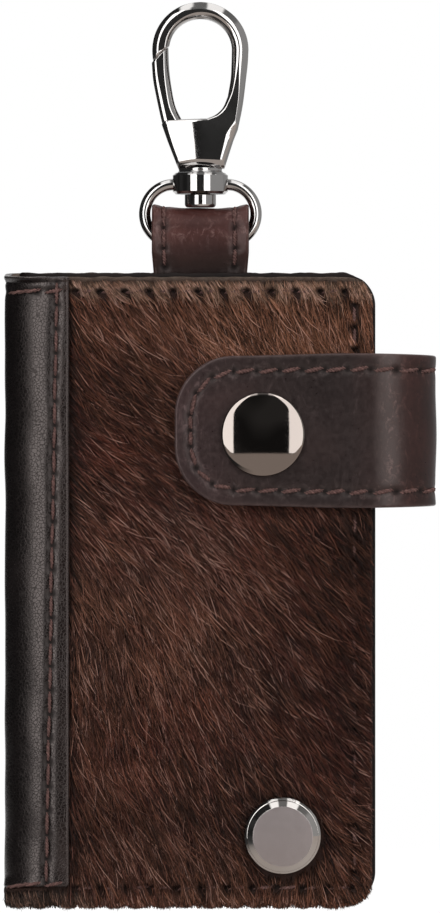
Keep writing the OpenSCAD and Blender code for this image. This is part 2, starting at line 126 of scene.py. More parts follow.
class Surface(Nodes):
    """A material with patterns in the object's own coordinates."""
    def __init__(self, name):
        self.mat = bpy.data.materials.new(name)
        self.mat.use_nodes = True
        super().__init__(self.mat.node_tree)
        self.bsdf = self.tree.nodes["Principled BSDF"]
        self.coord = self.node("ShaderNodeTexCoord").outputs["Object"]

    def noise(self, scale, detail=4, rough=0.5, stretch=None, distort=0.0):
        vec = self.coord
        if stretch:
            vec = self.node("ShaderNodeMapping", [("Vector", vec), ("Scale", stretch)]).outputs["Vector"]
        inputs = [("Vector", vec), ("Scale", scale), ("Detail", detail), ("Roughness", rough),
                  ("Distortion", distort)]
        return self.node("ShaderNodeTexNoise", inputs).outputs["Fac"]

    def gaps(self, scale):
        """The distance to the lines between a leather's grains."""
        shift = self.node("ShaderNodeTexNoise", [("Vector", self.coord), ("Scale", 700)]).outputs["Color"]
        inputs = [(0, shift), (1, (0.7 * MM,) * 3), (2, self.coord)]
        vec = self.node("ShaderNodeVectorMath", inputs, operation="MULTIPLY_ADD").outputs[0]
        inputs = [("Vector", vec), ("Scale", scale)]
        return self.node("ShaderNodeTexVoronoi", inputs, feature="DISTANCE_TO_EDGE").outputs["Distance"]

    def attr(self, name):
        return self.node("ShaderNodeAttribute", attribute_name=name).outputs["Fac"]

    def bump(self, height, distance, strength=1.0, under=None):
        inputs = [("Height", height), ("Distance", distance * MM), ("Strength", strength)]
        if under is not None:
            inputs.append(("Normal", under))
        return self.node("ShaderNodeBump", inputs).outputs["Normal"]

    def done(self, colour, rough, normal=None, specular=0.5):
        self.put(self.bsdf, "Base Color", colour)
        self.put(self.bsdf, "Roughness", rough)
        if normal is not None:
            self.put(self.bsdf, "Normal", normal)
        self.put(self.bsdf, "Specular IOR Level", specular)
        return self.mat


def leather(name, dark, base, light, edge, grain=1900, pore=0.014, cracks=0.0, rough=(0.26, 0.38), scuff=0.9,
            gloss=0.35, broad=90, tone_and_painted_light=None, axis=2, shine=(1.0, 1.0, 1.0)):
    """Waxed leather in three shades, with a worn edge. cracks darkens the lines between its grains, and
    tone_and_painted_light is a list of places and colour factors along an axis that paints shade and
    highlights and shifts the hue."""
    n = Surface(name)
    fine = n.noise(1400, 6, 0.6)
    gaps = n.gaps(grain)
    colour = n.ramp(n.noise(broad, 5, 0.55), (0.3, dark), (0.52, base), (0.78, light))
    colour = n.mix(n.ramp(fine, (0.45, 0.0), (0.8, 0.3)), colour, light)
    bright = tuple(c * 1.3 + sum(light) * 0.38 for c in light)
    scratches = n.ramp(n.noise(420, 8, 0.75, (1, 1, 0.35), 1.2), (0.56, 0.0), (0.72, scuff))
    colour = n.mix(n.times(scratches, n.noise(160, 3)), colour, bright)
    # Light flecks where seam is high: scuffs along the seams, and a mottled painted highlight along grooves
    # of no depth
    flecks = n.ramp(n.noise(900, 8, 0.7, (1, 1, 0.8), 0.8), (0.52, 0.0), (0.68, 0.9))
    colour = n.mix(n.times(n.attr("seam"), flecks), colour, bright)
    if cracks:
        colour = n.mix(n.ramp(gaps, (0.0, cracks), (0.07, 0.0)), colour, scaled(dark, 0.3))
    # Painted shade and highlights, with some change of hue, multiplied in along one axis
    if tone_and_painted_light:
        low, high = tone_and_painted_light[0][0], tone_and_painted_light[-1][0]
        way = n.math("SUBTRACT", n.axes(n.coord)[axis], low * MM)
        way = n.math("DIVIDE", way, (high - low) * MM, clamp=True)
        stops = [((place - low) / (high - low), shade) for place, shade in tone_and_painted_light]
        colour = n.mix(1.0, colour, n.ramp(way, *stops), "MULTIPLY")
    patchy = n.ramp(n.noise(700, 4), (0.25, 0.5), (0.7, 1.0))
    colour = n.mix(n.times(n.math("POWER", n.attr("edge"), 1.6), patchy), colour, edge)
    # Near-black painted shade in the stitch holes, which are also made fully rough
    hole = n.math("POWER", n.attr("hole"), 0.5)
    dull = n.ramp(fine, (0.25, rough[0]), (0.75, rough[1]))
    if cracks:
        dull = n.mix(n.ramp(gaps, (0.0, 0.8), (0.08, 0.0)), dull, 0.6)
    pores = n.ramp(gaps, (0.0, 0.0), (0.1, 1.0)) if cracks else n.noise(1100, 3)
    normal = n.bump(fine, 0.022, 0.22, n.bump(pores, pore, 0.7))
    normal = n.bump(n.noise(260, 5, 0.6), 0.1, 0.5, normal)
    n.put(n.bsdf, "Specular Tint", shine)
    return n.done(n.mix(hole, colour, (0.003, 0.002, 0.002)), n.mix(hole, dull, 1.0), normal, gloss)


def metal(name, colour, rough, brush=0.0, tint=0.08, sway=0.012, play=1.0):
    """Plated metal, faintly cloudy, with fine marks. sway mottles what it mirrors, play varies its gloss."""
    n = Surface(name)
    cloud = n.ramp(n.noise(300, 5, 0.6), (0.35, 0.0), (0.7, tint))
    dull = (0.3, rough * (1 - 0.25 * play)), (0.72, rough * (1 + 0.3 * play))
    marks = n.noise(900, 2 if rough > 0.3 else 6, 0.6, (1, 1, 14) if brush else (1, 1, 3))
    normal = n.bump(n.noise(420, 3), sway, 0.5, n.bump(marks, 0.003 + brush, 0.2 * play))
    n.put(n.bsdf, "Metallic", 1.0)
    return n.done(n.mix(cloud, colour, scaled(colour, 0.6)), n.ramp(n.noise(1500, 4, 0.6), *dull), normal)


def thread(name, dark, light):
    n = Surface(name)
    tone = n.noise(2500, 4, 0.6)
    # One ply is darker, and painted shade lies on the side of each ply that faces the leather
    colour = n.mix(n.attr("ply"), n.ramp(tone, (0.25, dark), (0.75, light)), scaled(dark, 0.55))
    return n.done(colour, n.ramp(tone, (0.2, 0.6), (0.8, 0.8)), n.bump(n.noise(9000, 3), 0.03, 0.6), 0.3)


def hair(name):
    n = Surface(name)
    mottle = n.noise(260, 4, 0.6)
    shades = (0.34, (0.084, 0.02, 0.014)), (0.5, (0.134, 0.0335, 0.0225)), (0.68, (0.205, 0.051, 0.032))
    colour = n.ramp(n.noise(75, 3, 0.55), *shades)
    colour = n.mix(n.ramp(mottle, (0.4, 0.0), (0.75, 0.5)), colour, (0.07, 0.03, 0.025))
    colour = n.mix(n.attr("warm"), colour, (0.395, 0.165, 0.088))
    colour = n.mix(n.attr("frost"), colour, (0.47, 0.34, 0.25))
    streak = n.ramp(n.attr("tone"), (0.0, 0.09), (0.3, 0.32), (0.6, 0.8), (0.8, 0.95))
    colour = n.mix(1.0, colour, streak, "MULTIPLY")
    # Bright hairs get a pale painted highlight towards their tips
    bright = n.ramp(n.attr("tone"), (0.62, 0.0), (0.95, 0.75))
    colour = n.mix(n.times(bright, n.attr("along")), colour, (0.62, 0.4, 0.33))
    # Painted shade darkens each hair towards its root, deep in the coat
    colour = n.mix(1.0, colour, n.ramp(n.attr("along"), (0.0, 0.1), (0.45, 1.0)), "MULTIPLY")
    # Painted shade beside the stitch holes and a painted shadow round the knob
    colour = n.mix(n.attr("shade"), colour, (0.004, 0.002, 0.0015))
    return n.done(colour, n.ramp(mottle, (0.3, 0.38), (0.7, 0.5)), specular=0.22)


def skin(name):
    """The hide under its hair, with a paler cut edge."""
    n = Surface(name)
    fine = n.noise(500, 5, 0.6)
    colour = n.ramp(fine, (0.3, (0.014, 0.0065, 0.005)), (0.7, (0.035, 0.016, 0.012)))
    patchy = n.ramp(n.noise(900, 4), (0.3, 0.45), (0.7, 1.0))
    colour = n.mix(n.times(n.math("POWER", n.attr("edge"), 0.4), patchy), colour, (0.125, 0.093, 0.072))
    # Near-black painted shade in the stitch holes
    colour = n.mix(n.attr("hole"), colour, (0.002, 0.001, 0.001))
    return n.done(colour, n.ramp(fine, (0.3, 0.75), (0.7, 0.95)), n.bump(n.noise(2200, 4, 0.6), 0.2), 0.2)


def plastic(name):
    n = Surface(name)
    fine = n.noise(1200, 4, 0.6)
    colour = n.ramp(fine, (0.3, (0.02, 0.02, 0.02)), (0.7, (0.045, 0.044, 0.043)))
    return n.done(colour, n.ramp(fine, (0.3, 0.45), (0.7, 0.62)), n.bump(n.noise(5000, 2), 0.01))


NICKEL = metal("polished_nickel", (0.5, 0.475, 0.455), 0.04, tint=0.05, sway=0.004)
CAP_NICKEL = metal("cap_nickel", (0.262, 0.228, 0.208), 0.04, tint=0.05, sway=0.003)
DARK_NICKEL = metal("gunmetal_nickel", (0.47, 0.455, 0.445), 0.08)
SATIN = metal("brushed_nickel", (0.372, 0.328, 0.324), 0.36, tint=0.06, sway=0.001, play=0.3)
STEEL = metal("spring_steel", (0.42, 0.42, 0.43), 0.25, brush=0.003)
# Along X the strap is lighter towards its left end, and a painted highlight, reddest near x 34, lightens it
# where it bends round the loop.
STRAP_MAT = leather(
    "strap_leather", (0.006, 0.0036, 0.0036), (0.01, 0.0062, 0.0062), (0.026, 0.0165, 0.0155),
    (0.115, 0.078, 0.074), pore=0.005, gloss=0.46, broad=70, axis=0, shine=(1.0, 0.85, 0.81),
    tone_and_painted_light=((-4, (2.5, 2.0, 2.1)), (4, (1.9, 1.6, 1.6)), (12, (1.25, 1.1, 1.1)), (24, (1.1, 1.0, 1.0)),
          (30, (1.8, 1.4, 1.3)), (34, (2.5, 1.4, 1.25)), (38, (2.2, 1.25, 1.1))))
# Along X painted shade darkens the spine's rounded outer edge, and the strip right of the seam is made redder
# and darker.
BAND_MAT = leather(
    "spine_leather", (0.0036, 0.0029, 0.003), (0.006, 0.0047, 0.0047), (0.014, 0.0108, 0.0105),
    (0.06, 0.048, 0.046), pore=0.012, cracks=0.75, rough=(0.2, 0.27), scuff=0.25, gloss=0.63, axis=0,
    shine=(1.0, 0.86, 0.82),
    tone_and_painted_light=((-32, (0.7, 0.65, 0.7)), (-28.5, (0.9, 0.88, 0.88)), (-23.6, (1.0, 0.95, 0.93)),
          (-22.4, (1.0, 0.62, 0.56)), (-21, (1.1, 0.66, 0.6))))
# Up the tab painted shade darkens it towards the case, and painted highlights lie over the ring's bar and on
# its top.
TAB_MAT = leather(
    "tab_leather", (0.022, 0.0075, 0.0066), (0.04, 0.014, 0.012), (0.078, 0.03, 0.025),
    (0.07, 0.034, 0.028), gloss=0.32, shine=(1.0, 0.88, 0.85),
    tone_and_painted_light=((-42.5, 0.12), (-39.5, 0.3), (-37.2, 0.72), (-35.6, 1.2), (-34.6, 1.45), (-33.6, 1.1),
          (-31.4, 1.6)))
LINING_MAT = leather(
    "lining_leather", (0.006, 0.004, 0.0038), (0.01, 0.0065, 0.006), (0.02, 0.013, 0.0115),
    (0.014, 0.009, 0.008), grain=1500, pore=0.02, rough=(0.45, 0.65), scuff=0.2, gloss=0.15)
THREAD = thread("seam_thread", (0.07, 0.033, 0.028), (0.195, 0.104, 0.092))
HAIR = hair("haired_hide")
SKIN = skin("hide_skin")
PLASTIC = plastic("spacer_plastic")


# Meshes
def unit(x):
    """A share kept between 0 and 1."""
    return np.clip(x, 0, 1)


def add_attributes(me, **attributes):
    for key, values in attributes.items():
        data = me.attributes.new(key, "FLOAT", "POINT").data
        data.foreach_set("value", np.asarray(values, np.float32).ravel())


def add_object(name, me, mat, body):
    me.materials.append(mat)
    ob = bpy.data.objects.new(name, me)
    bpy.context.scene.collection.objects.link(ob)
    if body:
        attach(ob, body)
    return ob


def add_mesh(name, verts, faces, mat, body, slot, **attributes):
    me = bpy.data.meshes.new(name)
    me.from_pydata((np.asarray(verts, float) * MM).tolist(), [], faces)
    me.update()
    bm = bmesh.new()
    bm.from_mesh(me)
    bmesh.ops.recalc_face_normals(bm, faces=bm.faces)
    bm.to_mesh(me)
    bm.free()
    me.polygons.foreach_set("use_smooth", [True] * len(me.polygons))
    add_attributes(me, **attributes)
    return add_object(name, me, mat, body)


def rounded(profile, radii):
    """The profile with some corners rounded; radii gives them by index."""
    points = []
    for i, corner in enumerate(profile):
        if i not in radii:
            points.append(corner)
            continue
        p, a, b = (np.array(q, float) for q in (corner, profile[i - 1], profile[(i + 1) % len(profile)]))
        start = p + (a - p) / np.linalg.norm(a - p) * radii[i]
        end = p + (b - p) / np.linalg.norm(b - p) * radii[i]
        points += [(1 - t) ** 2 * start + 2 * t * (1 - t) * p + t * t * end for t in np.linspace(0, 1, 6)]
    return points


def lathe(name, profile, centre, mat, body, y0=0.0, upright=False, steps=96, rounds=None,
          slot="polished_nickel"):
    """Turns a closed profile of (radius, distance) about an axis that runs to the front, or up if upright."""
    circle = [(math.cos(2 * math.pi * k / steps), math.sin(2 * math.pi * k / steps)) for k in range(steps)]
    verts, rings = [], []
    for r, h in rounded(profile, rounds or {}):
        count = 1 if r < 1e-6 else steps
        rings.append(range(len(verts), len(verts) + count))
        verts += [(r * c, r * s, h) for c, s in circle[:count]]
    faces = []
    for a, b in zip(rings, rings[1:] + rings[:1]):
        if len(a) == 1 and len(b) == 1:
            continue
        for k in range(steps):
            m = (k + 1) % steps
            if len(a) == 1:
                faces.append((a[0], b[m], b[k]))
            elif len(b) == 1:
                faces.append((a[k], a[m], b[0]))
            else:
                faces.append((a[k], a[m], b[m], b[k]))
    across, up, out = np.array(verts).T
    x, z = centre
    shape = np.c_[x + across, up, z + out] if upright else np.c_[x + across, y0 - out, z + up]
    return add_mesh(name, shape, faces, mat, body, slot)


class Track:
    """A bent line in a plane, with its outward normal, that a strip of leather follows."""
    def __init__(self, points, normals, plane="xy"):
        self.p, self.n, self.plane = np.array(points, float), np.array(normals, float), plane
        self.warp = None
        self.s = np.r_[0, np.cumsum(np.linalg.norm(np.diff(self.p, axis=0), axis=1))]
        self.length = self.s[-1]

    def at(self, s, w, d):
        """The point at a way s along the line, w across the strip and d out from the line."""
        s, w, d = np.broadcast_arrays(*(np.asarray(q, float) for q in (s, w, d)))
        if self.warp:
            w = self.warp(s, w)
        p, n = (np.stack([np.interp(s, self.s, q[:, i]) for i in (0, 1)], -1) for q in (self.p, self.n))
        n /= np.linalg.norm(n, axis=-1, keepdims=True)
        q = p + n * d[..., None]
        return np.stack([q[..., 0], q[..., 1], w] if self.plane == "xy" else [w, q[..., 0], q[..., 1]], -1)


def arc(cx, cy, r, a0, a1, n):
    t = np.radians(np.linspace(a0, a1, n))
    return np.c_[cx + r * np.cos(t), cy + r * np.sin(t)], np.c_[np.cos(t), np.sin(t)]


def flat(x0, x1, y, way):
    """A straight run at one depth, whose normal points to the back, or to the front if way is -1."""
    return [(x0, y), (x1, y)], [(0, way), (0, way)]


def joined(*parts):
    """Runs of points and normals in a row, without doubled points."""
    p, n = (np.concatenate([np.array(part[i], float) for part in parts]) for i in (0, 1))
    keep = np.r_[True, np.linalg.norm(np.diff(p, axis=0), axis=1) > 1e-6]
    return p[keep], n[keep]


def fold_track(end):
    """Round the case: along the front cover's inner face, round the spine and back along the other cover."""
    return Track(*joined(flat(end, FOLD_X, -HALF_GAP, -1), arc(FOLD_X, -FOLD_Y, FOLD_R, -90, -180, 12),
                         arc(FOLD_X, FOLD_Y, FOLD_R, 180, 90, 12), flat(FOLD_X, end, HALF_GAP, 1)))


def box_distance(s, w, s0, s1, w0, w1, r0, r1):
    """Distance inside a rectangle with corner radius r0 at its start and r1 at its end."""
    r = np.where(s < (s0 + s1) / 2, r0, r1)
    qs = np.abs(s - (s0 + s1) / 2) - (s1 - s0) / 2 + r
    qw = np.abs(w - (w0 + w1) / 2) - (w1 - w0) / 2 + r
    return -(np.minimum(np.maximum(qs, qw), 0) + np.hypot(np.maximum(qs, 0), np.maximum(qw, 0)) - r)


def eased(a, b, step, edge):
    """Samples from a to b, closer together near both ends."""
    near = np.array([0, 0.04, 0.12, 0.26, 0.5, 0.75, 1.0]) * edge
    middle = np.linspace(a + edge, b - edge, max(2, int((b - a - 2 * edge) / step)))
    return np.r_[a + near, middle[1:-1], (b - near)[::-1]]


def strip(name, track, w_range, d_range, corners, mat, body, slot, step=0.5, edge=0.5, blunt=0.3,
          holes=(), grooves=(), wave=None, free=(True, True), start=0):
    """A strip of leather on a track, with eased edges, pressed-in seams and stitch holes. corners has the
    radii at both ends, a groove is a line, a depth and a width, and an end that isn't free stays thick."""
    s0, s1 = start, track.length - start
    (w0, w1), (d0, d1) = w_range, d_range
    ss = eased(s0, s1, step, edge)
    for r, end, sign in ((corners[0], s0, 1), (corners[1], s1, -1)):
        if r > edge:
            ss = np.r_[ss, end + sign * r * (1 - np.cos(np.linspace(0, math.pi / 2, 16)))]
    ss = np.unique(np.round(ss, 5))
    cut = np.zeros_like(ss)
    for r, way in ((corners[0], ss - s0), (corners[1], s1 - ss)):
        near = np.clip(r - way, 0, r)
        cut = np.maximum(cut, r - np.sqrt(np.maximum(r * r - near * near, 0)))
    S, V = np.meshgrid(ss, eased(0, 1, step / (w1 - w0), edge / (w1 - w0)), indexing="ij")
    low, high = (w0 + cut)[:, None], (w1 - cut)[:, None]
    W = low + V * (high - low)
    before, beyond = (0 if end else ENDLESS for end in free)
    dist = box_distance(S, W, s0 - before, s1 + beyond, w0, w1, *corners)
    inside = unit(dist / edge)
    full = blunt + (1 - blunt) * np.sqrt(unit(1 - (1 - inside) ** 2))
    mid, half = (d0 + d1) / 2, (d1 - d0) / 2
    out = mid + half * full
    if wave is not None:
        out = out + wave(S, W) * unit(dist / 1.5)
    hole, seam = np.zeros_like(S), np.zeros_like(S)
    # Each groove also sets seam, where the leather gets light flecks; a groove of no depth only places the
    # flecks of a painted highlight.
    for line, depth, width in grooves:
        out = out - depth * np.exp(-(line(S, W) / width) ** 2)
        seam = np.maximum(seam, np.exp(-(line(S, W) / 1.5) ** 2))
    # hole marks the stitch holes: a shallow dip here, and painted shade in the materials
    for hs, hw in holes:
        near = slice(*np.searchsorted(ss, (hs - 1.5, hs + 1.5)))
        gap = ((S[near] - hs) ** 2 + (W[near] - hw) ** 2) / 0.42 ** 2
        hole[near] = np.maximum(hole[near], np.exp(-gap))
    out = out - 0.22 * hole
    both = [track.at(S, W, depth).reshape(-1, 3) for depth in (out, mid - half * full)]
    total = S.size
    idx = np.arange(total).reshape(S.shape)
    quad = np.stack([idx[:-1, :-1], idx[1:, :-1], idx[1:, 1:], idx[:-1, 1:]], -1).reshape(-1, 4)
    rim = np.concatenate([idx[:, 0], idx[-1, 1:], idx[-2::-1, -1], idx[0, -2:0:-1]])
    after = np.roll(rim, -1)
    sides = np.stack([after, rim, rim + total, after + total], -1)
    faces = np.concatenate([quad, quad[:, ::-1] + total, sides]).tolist()
    worn = np.exp(-np.clip(dist, 0, FAR_OFF) / 0.35).ravel()
    hole, seam = (np.pad(q.ravel(), (0, total)) for q in (hole, seam))
    return add_mesh(name, np.concatenate(both), faces, mat, body, slot,
                    edge=np.r_[worn, worn * 0.8], hole=hole, seam=seam)


def stitches(name, runs, body, width=0.74, lift=0.3):
    """Twisted two-ply stitches; a run is a track, a depth, the holes that the thread joins and a lean."""
    gap, count, sides = 0.22, 13, 6
    ply_off, ply_r = width * 0.2, width * 0.29
    ang = 2 * np.pi * np.arange(sides) / sides
    t = np.linspace(0, 1, count)
    arch = np.sin(np.pi * t)
    rise = lift * arch ** 0.55 - 0.26 * (1 - arch ** 0.5)
    taper = np.sqrt(np.clip(arch, 0.12, 1))[:, None]
    verts, faces, ply = [], [], []
    for track, depth, holes, lean in runs:
        for (s0, w0), (s1, w1) in zip(holes[:-1], holes[1:]):
            jitter = rng.normal(0, 0.05, 4)
            span = np.hypot(s1 - s0, w1 - w0)
            way = np.array([s1 - s0, w1 - w0]) / span
            a = np.array([s0, w0]) + way * gap + jitter[:2]
            b = np.array([s1, w1]) - way * gap + jitter[2:]
            ends = track.at([a[0], b[0]], [a[1], b[1]], 0.0)
            tilt = (1 if ends[1, 0] > ends[0, 0] else -1) * lean * abs(way[0])
            a[1] -= tilt
            b[1] += tilt
            line = a * (1 - t)[:, None] + b * t[:, None]
            along = (b - a) / np.linalg.norm(b - a)
            side = np.array([-along[1], along[0]])
            level = rise + (depth(*line.T) if callable(depth) else depth)
            for k in (0, 1):
                twist = 2 * np.pi * span / 1.15 * t + k * np.pi
                centre = line + side * (ply_off * np.cos(twist))[:, None]
                ring = centre[:, None] + side * (ply_r * np.cos(ang) * taper)[..., None]
                height = (level + ply_off * np.sin(twist))[:, None] + ply_r * np.sin(ang) * taper
                i = len(verts) * count * sides + np.arange(count * sides).reshape(count, sides)
                j = np.roll(i, -1, 1)
                faces += np.stack([i[:-1], i[1:], j[1:], j[:-1]], -1).reshape(-1, 4).tolist()
                faces += [i[0].tolist(), i[-1][::-1].tolist()]
                verts.append(track.at(ring[..., 0], ring[..., 1], height).reshape(-1, 3))
                # One ply is darker, and painted shade lies on the side of each ply that faces the leather
                ply.append(0.35 * k + 0.3 * np.tile(np.sin(ang) < -0.2, count))
    return add_mesh(name, np.concatenate(verts), faces, THREAD, body, "seam_thread", ply=np.concatenate(ply))


def spaced(a, b, pitch=PITCH):
    """Hole places along a line from a to b, at about the pitch."""
    a, b = np.array(a, float), np.array(b, float)
    n = max(1, int(round(np.linalg.norm(b - a) / pitch)))
    return [tuple(a + (b - a) * i / n) for i in range(n + 1)]


def wavy(scale, size, seed):
    """A little unevenness, as a function of the place on a strip."""
    r = np.random.default_rng(seed)
    waves = [(r.uniform(0.3, 1) / scale, r.uniform(-1, 1) / scale, r.uniform(0, 6.3)) for _ in range(7)]
    return lambda s, w: size * sum(np.sin(2 * np.pi * (a * s + b * w) + c) for a, b, c in waves) / 4


# Case
def x_to_s(x):
    """The way along the hide's fold at which the front cover has this place."""
    return HIDE_RIGHT - x


fold, band_track = fold_track(HIDE_RIGHT), fold_track(HIDE_RIGHT)
lining_track = fold_track(RIGHT)
FOLD_LEN = fold.length
SPINE_AT = x_to_s(FOLD_X)


def row(x0, z0, x1, z1):
    return spaced((x_to_s(x0), z0), (x_to_s(x1), z1))


def mirror(holes):
    """The same places on the back cover."""
    return [(FOLD_LEN - s, w) for s, w in holes]


def top_edge(front, back, ragged, seed):
    """Moves a fold's top edge up or down on each cover, a little unevenly."""
    rag = wavy(3.5, ragged, seed)

    def warp(s, w):
        near = unit((w - TOP + 1.8) / 1.8)
        share = unit((s - SPINE_AT) / (FOLD_LEN - 2 * SPINE_AT))
        return w + near * (front + (back - front) * share + rag(s, 0 * s))
    return warp


def band_warp(s, w):
    """The band's edge as the hide's, with its bottom a little lower round the spine."""
    low = unit((BAND_BOTTOM + 3 - w) / 3)
    round_spine = unit((np.minimum(s, FOLD_LEN - s) - x_to_s(-27.2)) / 1.6)
    return fold.warp(s, w) - 0.4 * low * round_spine


def swell(left, w):
    """How far the hide stands out below the band's end, by the way left of the middle and the height."""
    return 1.15 * unit((BAND_BOTTOM - w) / 0.5) * unit((left - 24) / 3.5)


fold.warp = top_edge(-0.55, 0.3, 0.1, 21)
lining_track.warp = top_edge(0.1, 0.2, 0.16, 22)
band_track.warp = band_warp
lining = strip("lining_leather_fold", lining_track, (BOTTOM, TOP), (0, LINING_FACE), (LINING_CORNER,) * 2,
               LINING_MAT, "case", "lining_leather", 0.9, 0.25, 0.6)
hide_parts("lining")

top_holes = row(23.3, SEAM_TOP, SEAM_LEFT, SEAM_TOP)
low_holes = row(24.6, SEAM_LOW, SEAM_LEFT, SEAM_LOW)
right_top = row(SEAM_RIGHT, -46.6, SEAM_RIGHT, -53.6)
right_low = row(SEAM_RIGHT, -80.0, SEAM_RIGHT, -138.2)
back_right = row(SEAM_RIGHT, -46.6, SEAM_RIGHT, -138.2)
front_runs = [top_holes, low_holes, right_top, right_low]
back_runs = [mirror(run) for run in (top_holes, low_holes, back_right)]
hide = strip("hide_skin_fold", fold, (BOTTOM, TOP), (LINING_FACE, HIDE_FACE), (CORNER, CORNER), SKIN, "case",
             "haired_hide", 0.5, 0.4, 0.4, holes=sum(front_runs + back_runs, []),
             wave=lambda s, w: swell(np.minimum(s, FOLD_LEN - s) - x_to_s(0), w))
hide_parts("outer_hide")

# The padded spine's face, as places across and depths from the case's middle.
CROWN_X = (-21.0, -23.4, -25.0, -26.5, -28.0, -29.5, -30.7, -31.6, -31.9)
CROWN_Y = (6.6, 6.6, 6.42, 6.11, 5.6, 4.84, 3.85, 2.2, 0.0)


def spine_seam(w):
    """Where the spine's seam crosses a height: it leans a little to the left on its way down."""
    return x_to_s(-23.1 - 1.8 * (TOP - w) / (TOP - BAND_BOTTOM))


def band_crown(s):
    """How far the padded spine's face lies inside the band's full thickness."""
    s = np.minimum(s, FOLD_LEN - s)
    px = np.linspace(CROWN_X[0], CROWN_X[-1], 110)
    py = np.interp(px, CROWN_X[::-1], CROWN_Y[::-1])
    py = np.convolve(np.r_[[py[0]] * 5, py, [py[-1]] * 5], np.full(11, 1 / 11), "valid")
    on_flat = np.interp(HIDE_RIGHT - s, px[::-1], py[::-1]) - HALF_GAP - BAND_FACE
    turned = unit((s - SPINE_AT) / (math.pi / 2 * FOLD_R)) * math.pi / 2
    angle, radius = np.arctan2(FOLD_X - px, py - FOLD_Y), np.hypot(px - FOLD_X, py - FOLD_Y)
    on_turn = np.interp(turned, angle, radius) - FOLD_R - BAND_FACE
    return np.where(s < SPINE_AT, on_flat, on_turn)


def on_band(s, w):
    """The height of the band's face over the lining, where a stitch lies."""
    return BAND_FACE - 0.08 + band_crown(s) * unit(np.minimum(TOP - w, w - BAND_BOTTOM) / 1.5)


spine_holes = [(spine_seam(w), w) for w in np.linspace(TOP - 1.2, BAND_BOTTOM + 0.6, 26)]
band_bumps = wavy(9, 0.1, 3)
band = strip("spine_band_leather", band_track, (BAND_BOTTOM, TOP), (HIDE_FACE, BAND_FACE), (0.6, 0.6),
             BAND_MAT, "case", "spine_leather", 0.32, 0.45, 0.3, start=x_to_s(BAND_EDGE),
             holes=spine_holes + mirror(spine_holes) + [(x_to_s(x), SEAM_TOP) for x in (-26.4, -24.2)],
             grooves=[(lambda s, w: s - spine_seam(w), 0.2, 0.7),
                      (lambda s, w: FOLD_LEN - s - spine_seam(w), 0.2, 0.7),
                      (lambda s, w: w - SEAM_TOP, 0.14, 0.6), (lambda s, w: w - TOP + 1.3, 0.16, 0.25)],
             wave=lambda s, w: band_crown(s) + band_bumps(s, w))
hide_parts("spine_band")

band_top = [(x_to_s(-21.9), SEAM_TOP), (x_to_s(-25.4), SEAM_TOP), (SPINE_AT + 2.2, SEAM_TOP)]
band_low = [(hole[0], w) for hole, w in zip(band_top, (-140.0, -140.0, -140.1))]
band_runs = (band_top, mirror(band_top), band_low, mirror(band_low))
runs = [(fold, HIDE_FACE, holes, 0.2) for holes in front_runs + back_runs]
runs += [(band_track, on_band, holes, 0.35) for holes in band_runs]
cover_thread = stitches("cover_stitches", runs, "case")
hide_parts("cover_thread")
runs = [(fold, BAND_FACE - 0.08, holes, 0.0) for holes in (spine_holes, mirror(spine_holes))]
spine_thread = stitches("spine_stitches", runs, "case")
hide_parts("spine_thread")


# Strap
def wide_turn(x):
    """The strap's first quarter turn, that starts at this place and ends at its loop's side."""
    t = np.radians(np.linspace(-90, 0, 30))
    wide = LOOP_X + LOOP_R - x
    way = np.c_[np.cos(t) / wide, np.sin(t) / LOOP_R]
    line = np.c_[x + wide * np.cos(t), LOOP_Y + LOOP_R * np.sin(t)]
    return line, way / np.linalg.norm(way, axis=1)[:, None]


BEND_X, TURN = 27.2, 70
moving = Track(*joined(flat(STRAP_END, BEND_X, LOOP_Y - LOOP_R, -1), wide_turn(BEND_X),
                       arc(LOOP_X, LOOP_Y, LOOP_R, 0, TURN, 11)))
bend = Track(*joined(arc(LOOP_X, LOOP_Y, LOOP_R, TURN, 90, 3), flat(LOOP_X, CREASE_X, STRAP_BACK, 1)))
anchor = Track(*flat(CREASE_X, ANCHOR_END, STRAP_BACK, 1))
strap_len, anchor_len = moving.length, anchor.length


def strap_warp(s, w):
    """The strap spreads a little between its cap and its crease."""
    return w + 0.42 * np.sin(np.pi * unit((s - 8) / (strap_len - 8))) ** 2 * (w + 66.8) / 12.05


moving.warp = strap_warp
width = (STRAP_LOW, STRAP_HIGH)
seam_r = STRAP_CORNER - STRAP_INSET
end_low, end_high = STRAP_LOW + STRAP_CORNER, STRAP_HIGH - STRAP_CORNER
seam_low, seam_high = STRAP_LOW + STRAP_INSET, STRAP_HIGH - STRAP_INSET
end_arc = [(STRAP_INSET + seam_r * (1 - math.sin(t)), end_high + seam_r * math.cos(t))
           for t in (math.pi / 2 * i / 3 for i in range(4))]
end_holes = end_arc + [(STRAP_INSET, (end_low + end_high) / 2)]
end_holes += [(s, STRAP_LOW + STRAP_HIGH - w) for s, w in end_arc[::-1]]
top_run = [(STRAP_CORNER + PITCH * 0.94 * i, seam_high) for i in range(9, 0, -1)]
strap_holes = top_run + end_holes + [(s, seam_low) for s, w in top_run[::-1]]
back_run = [(s, seam_high) for s in np.arange(1.2, anchor_len - STRAP_CORNER, PITCH)]
anchor_holes = back_run + [(anchor_len - s, w) for s, w in end_holes]
anchor_holes += [(s, seam_low) for s, w in back_run[::-1]]


def end_groove(s, w):
    inside = box_distance(s, w, 0, ENDLESS, *width, STRAP_CORNER, STRAP_CORNER)
    return np.where(s < STRAP_CORNER, inside - STRAP_INSET, FAR_OFF)


def seam_groove(height, along):
    """A pressed line at one height, on the part of the strip that along picks."""
    return lambda s, w: np.where(along(s), w - height, FAR_OFF), 0.12, 0.7


strap_rows = [seam_groove(height, lambda s: s > STRAP_CORNER) for height in (seam_low, seam_high)]
back_rows = [seam_groove(height, lambda s: s < anchor_len - STRAP_CORNER) for height in (seam_low, seam_high)]
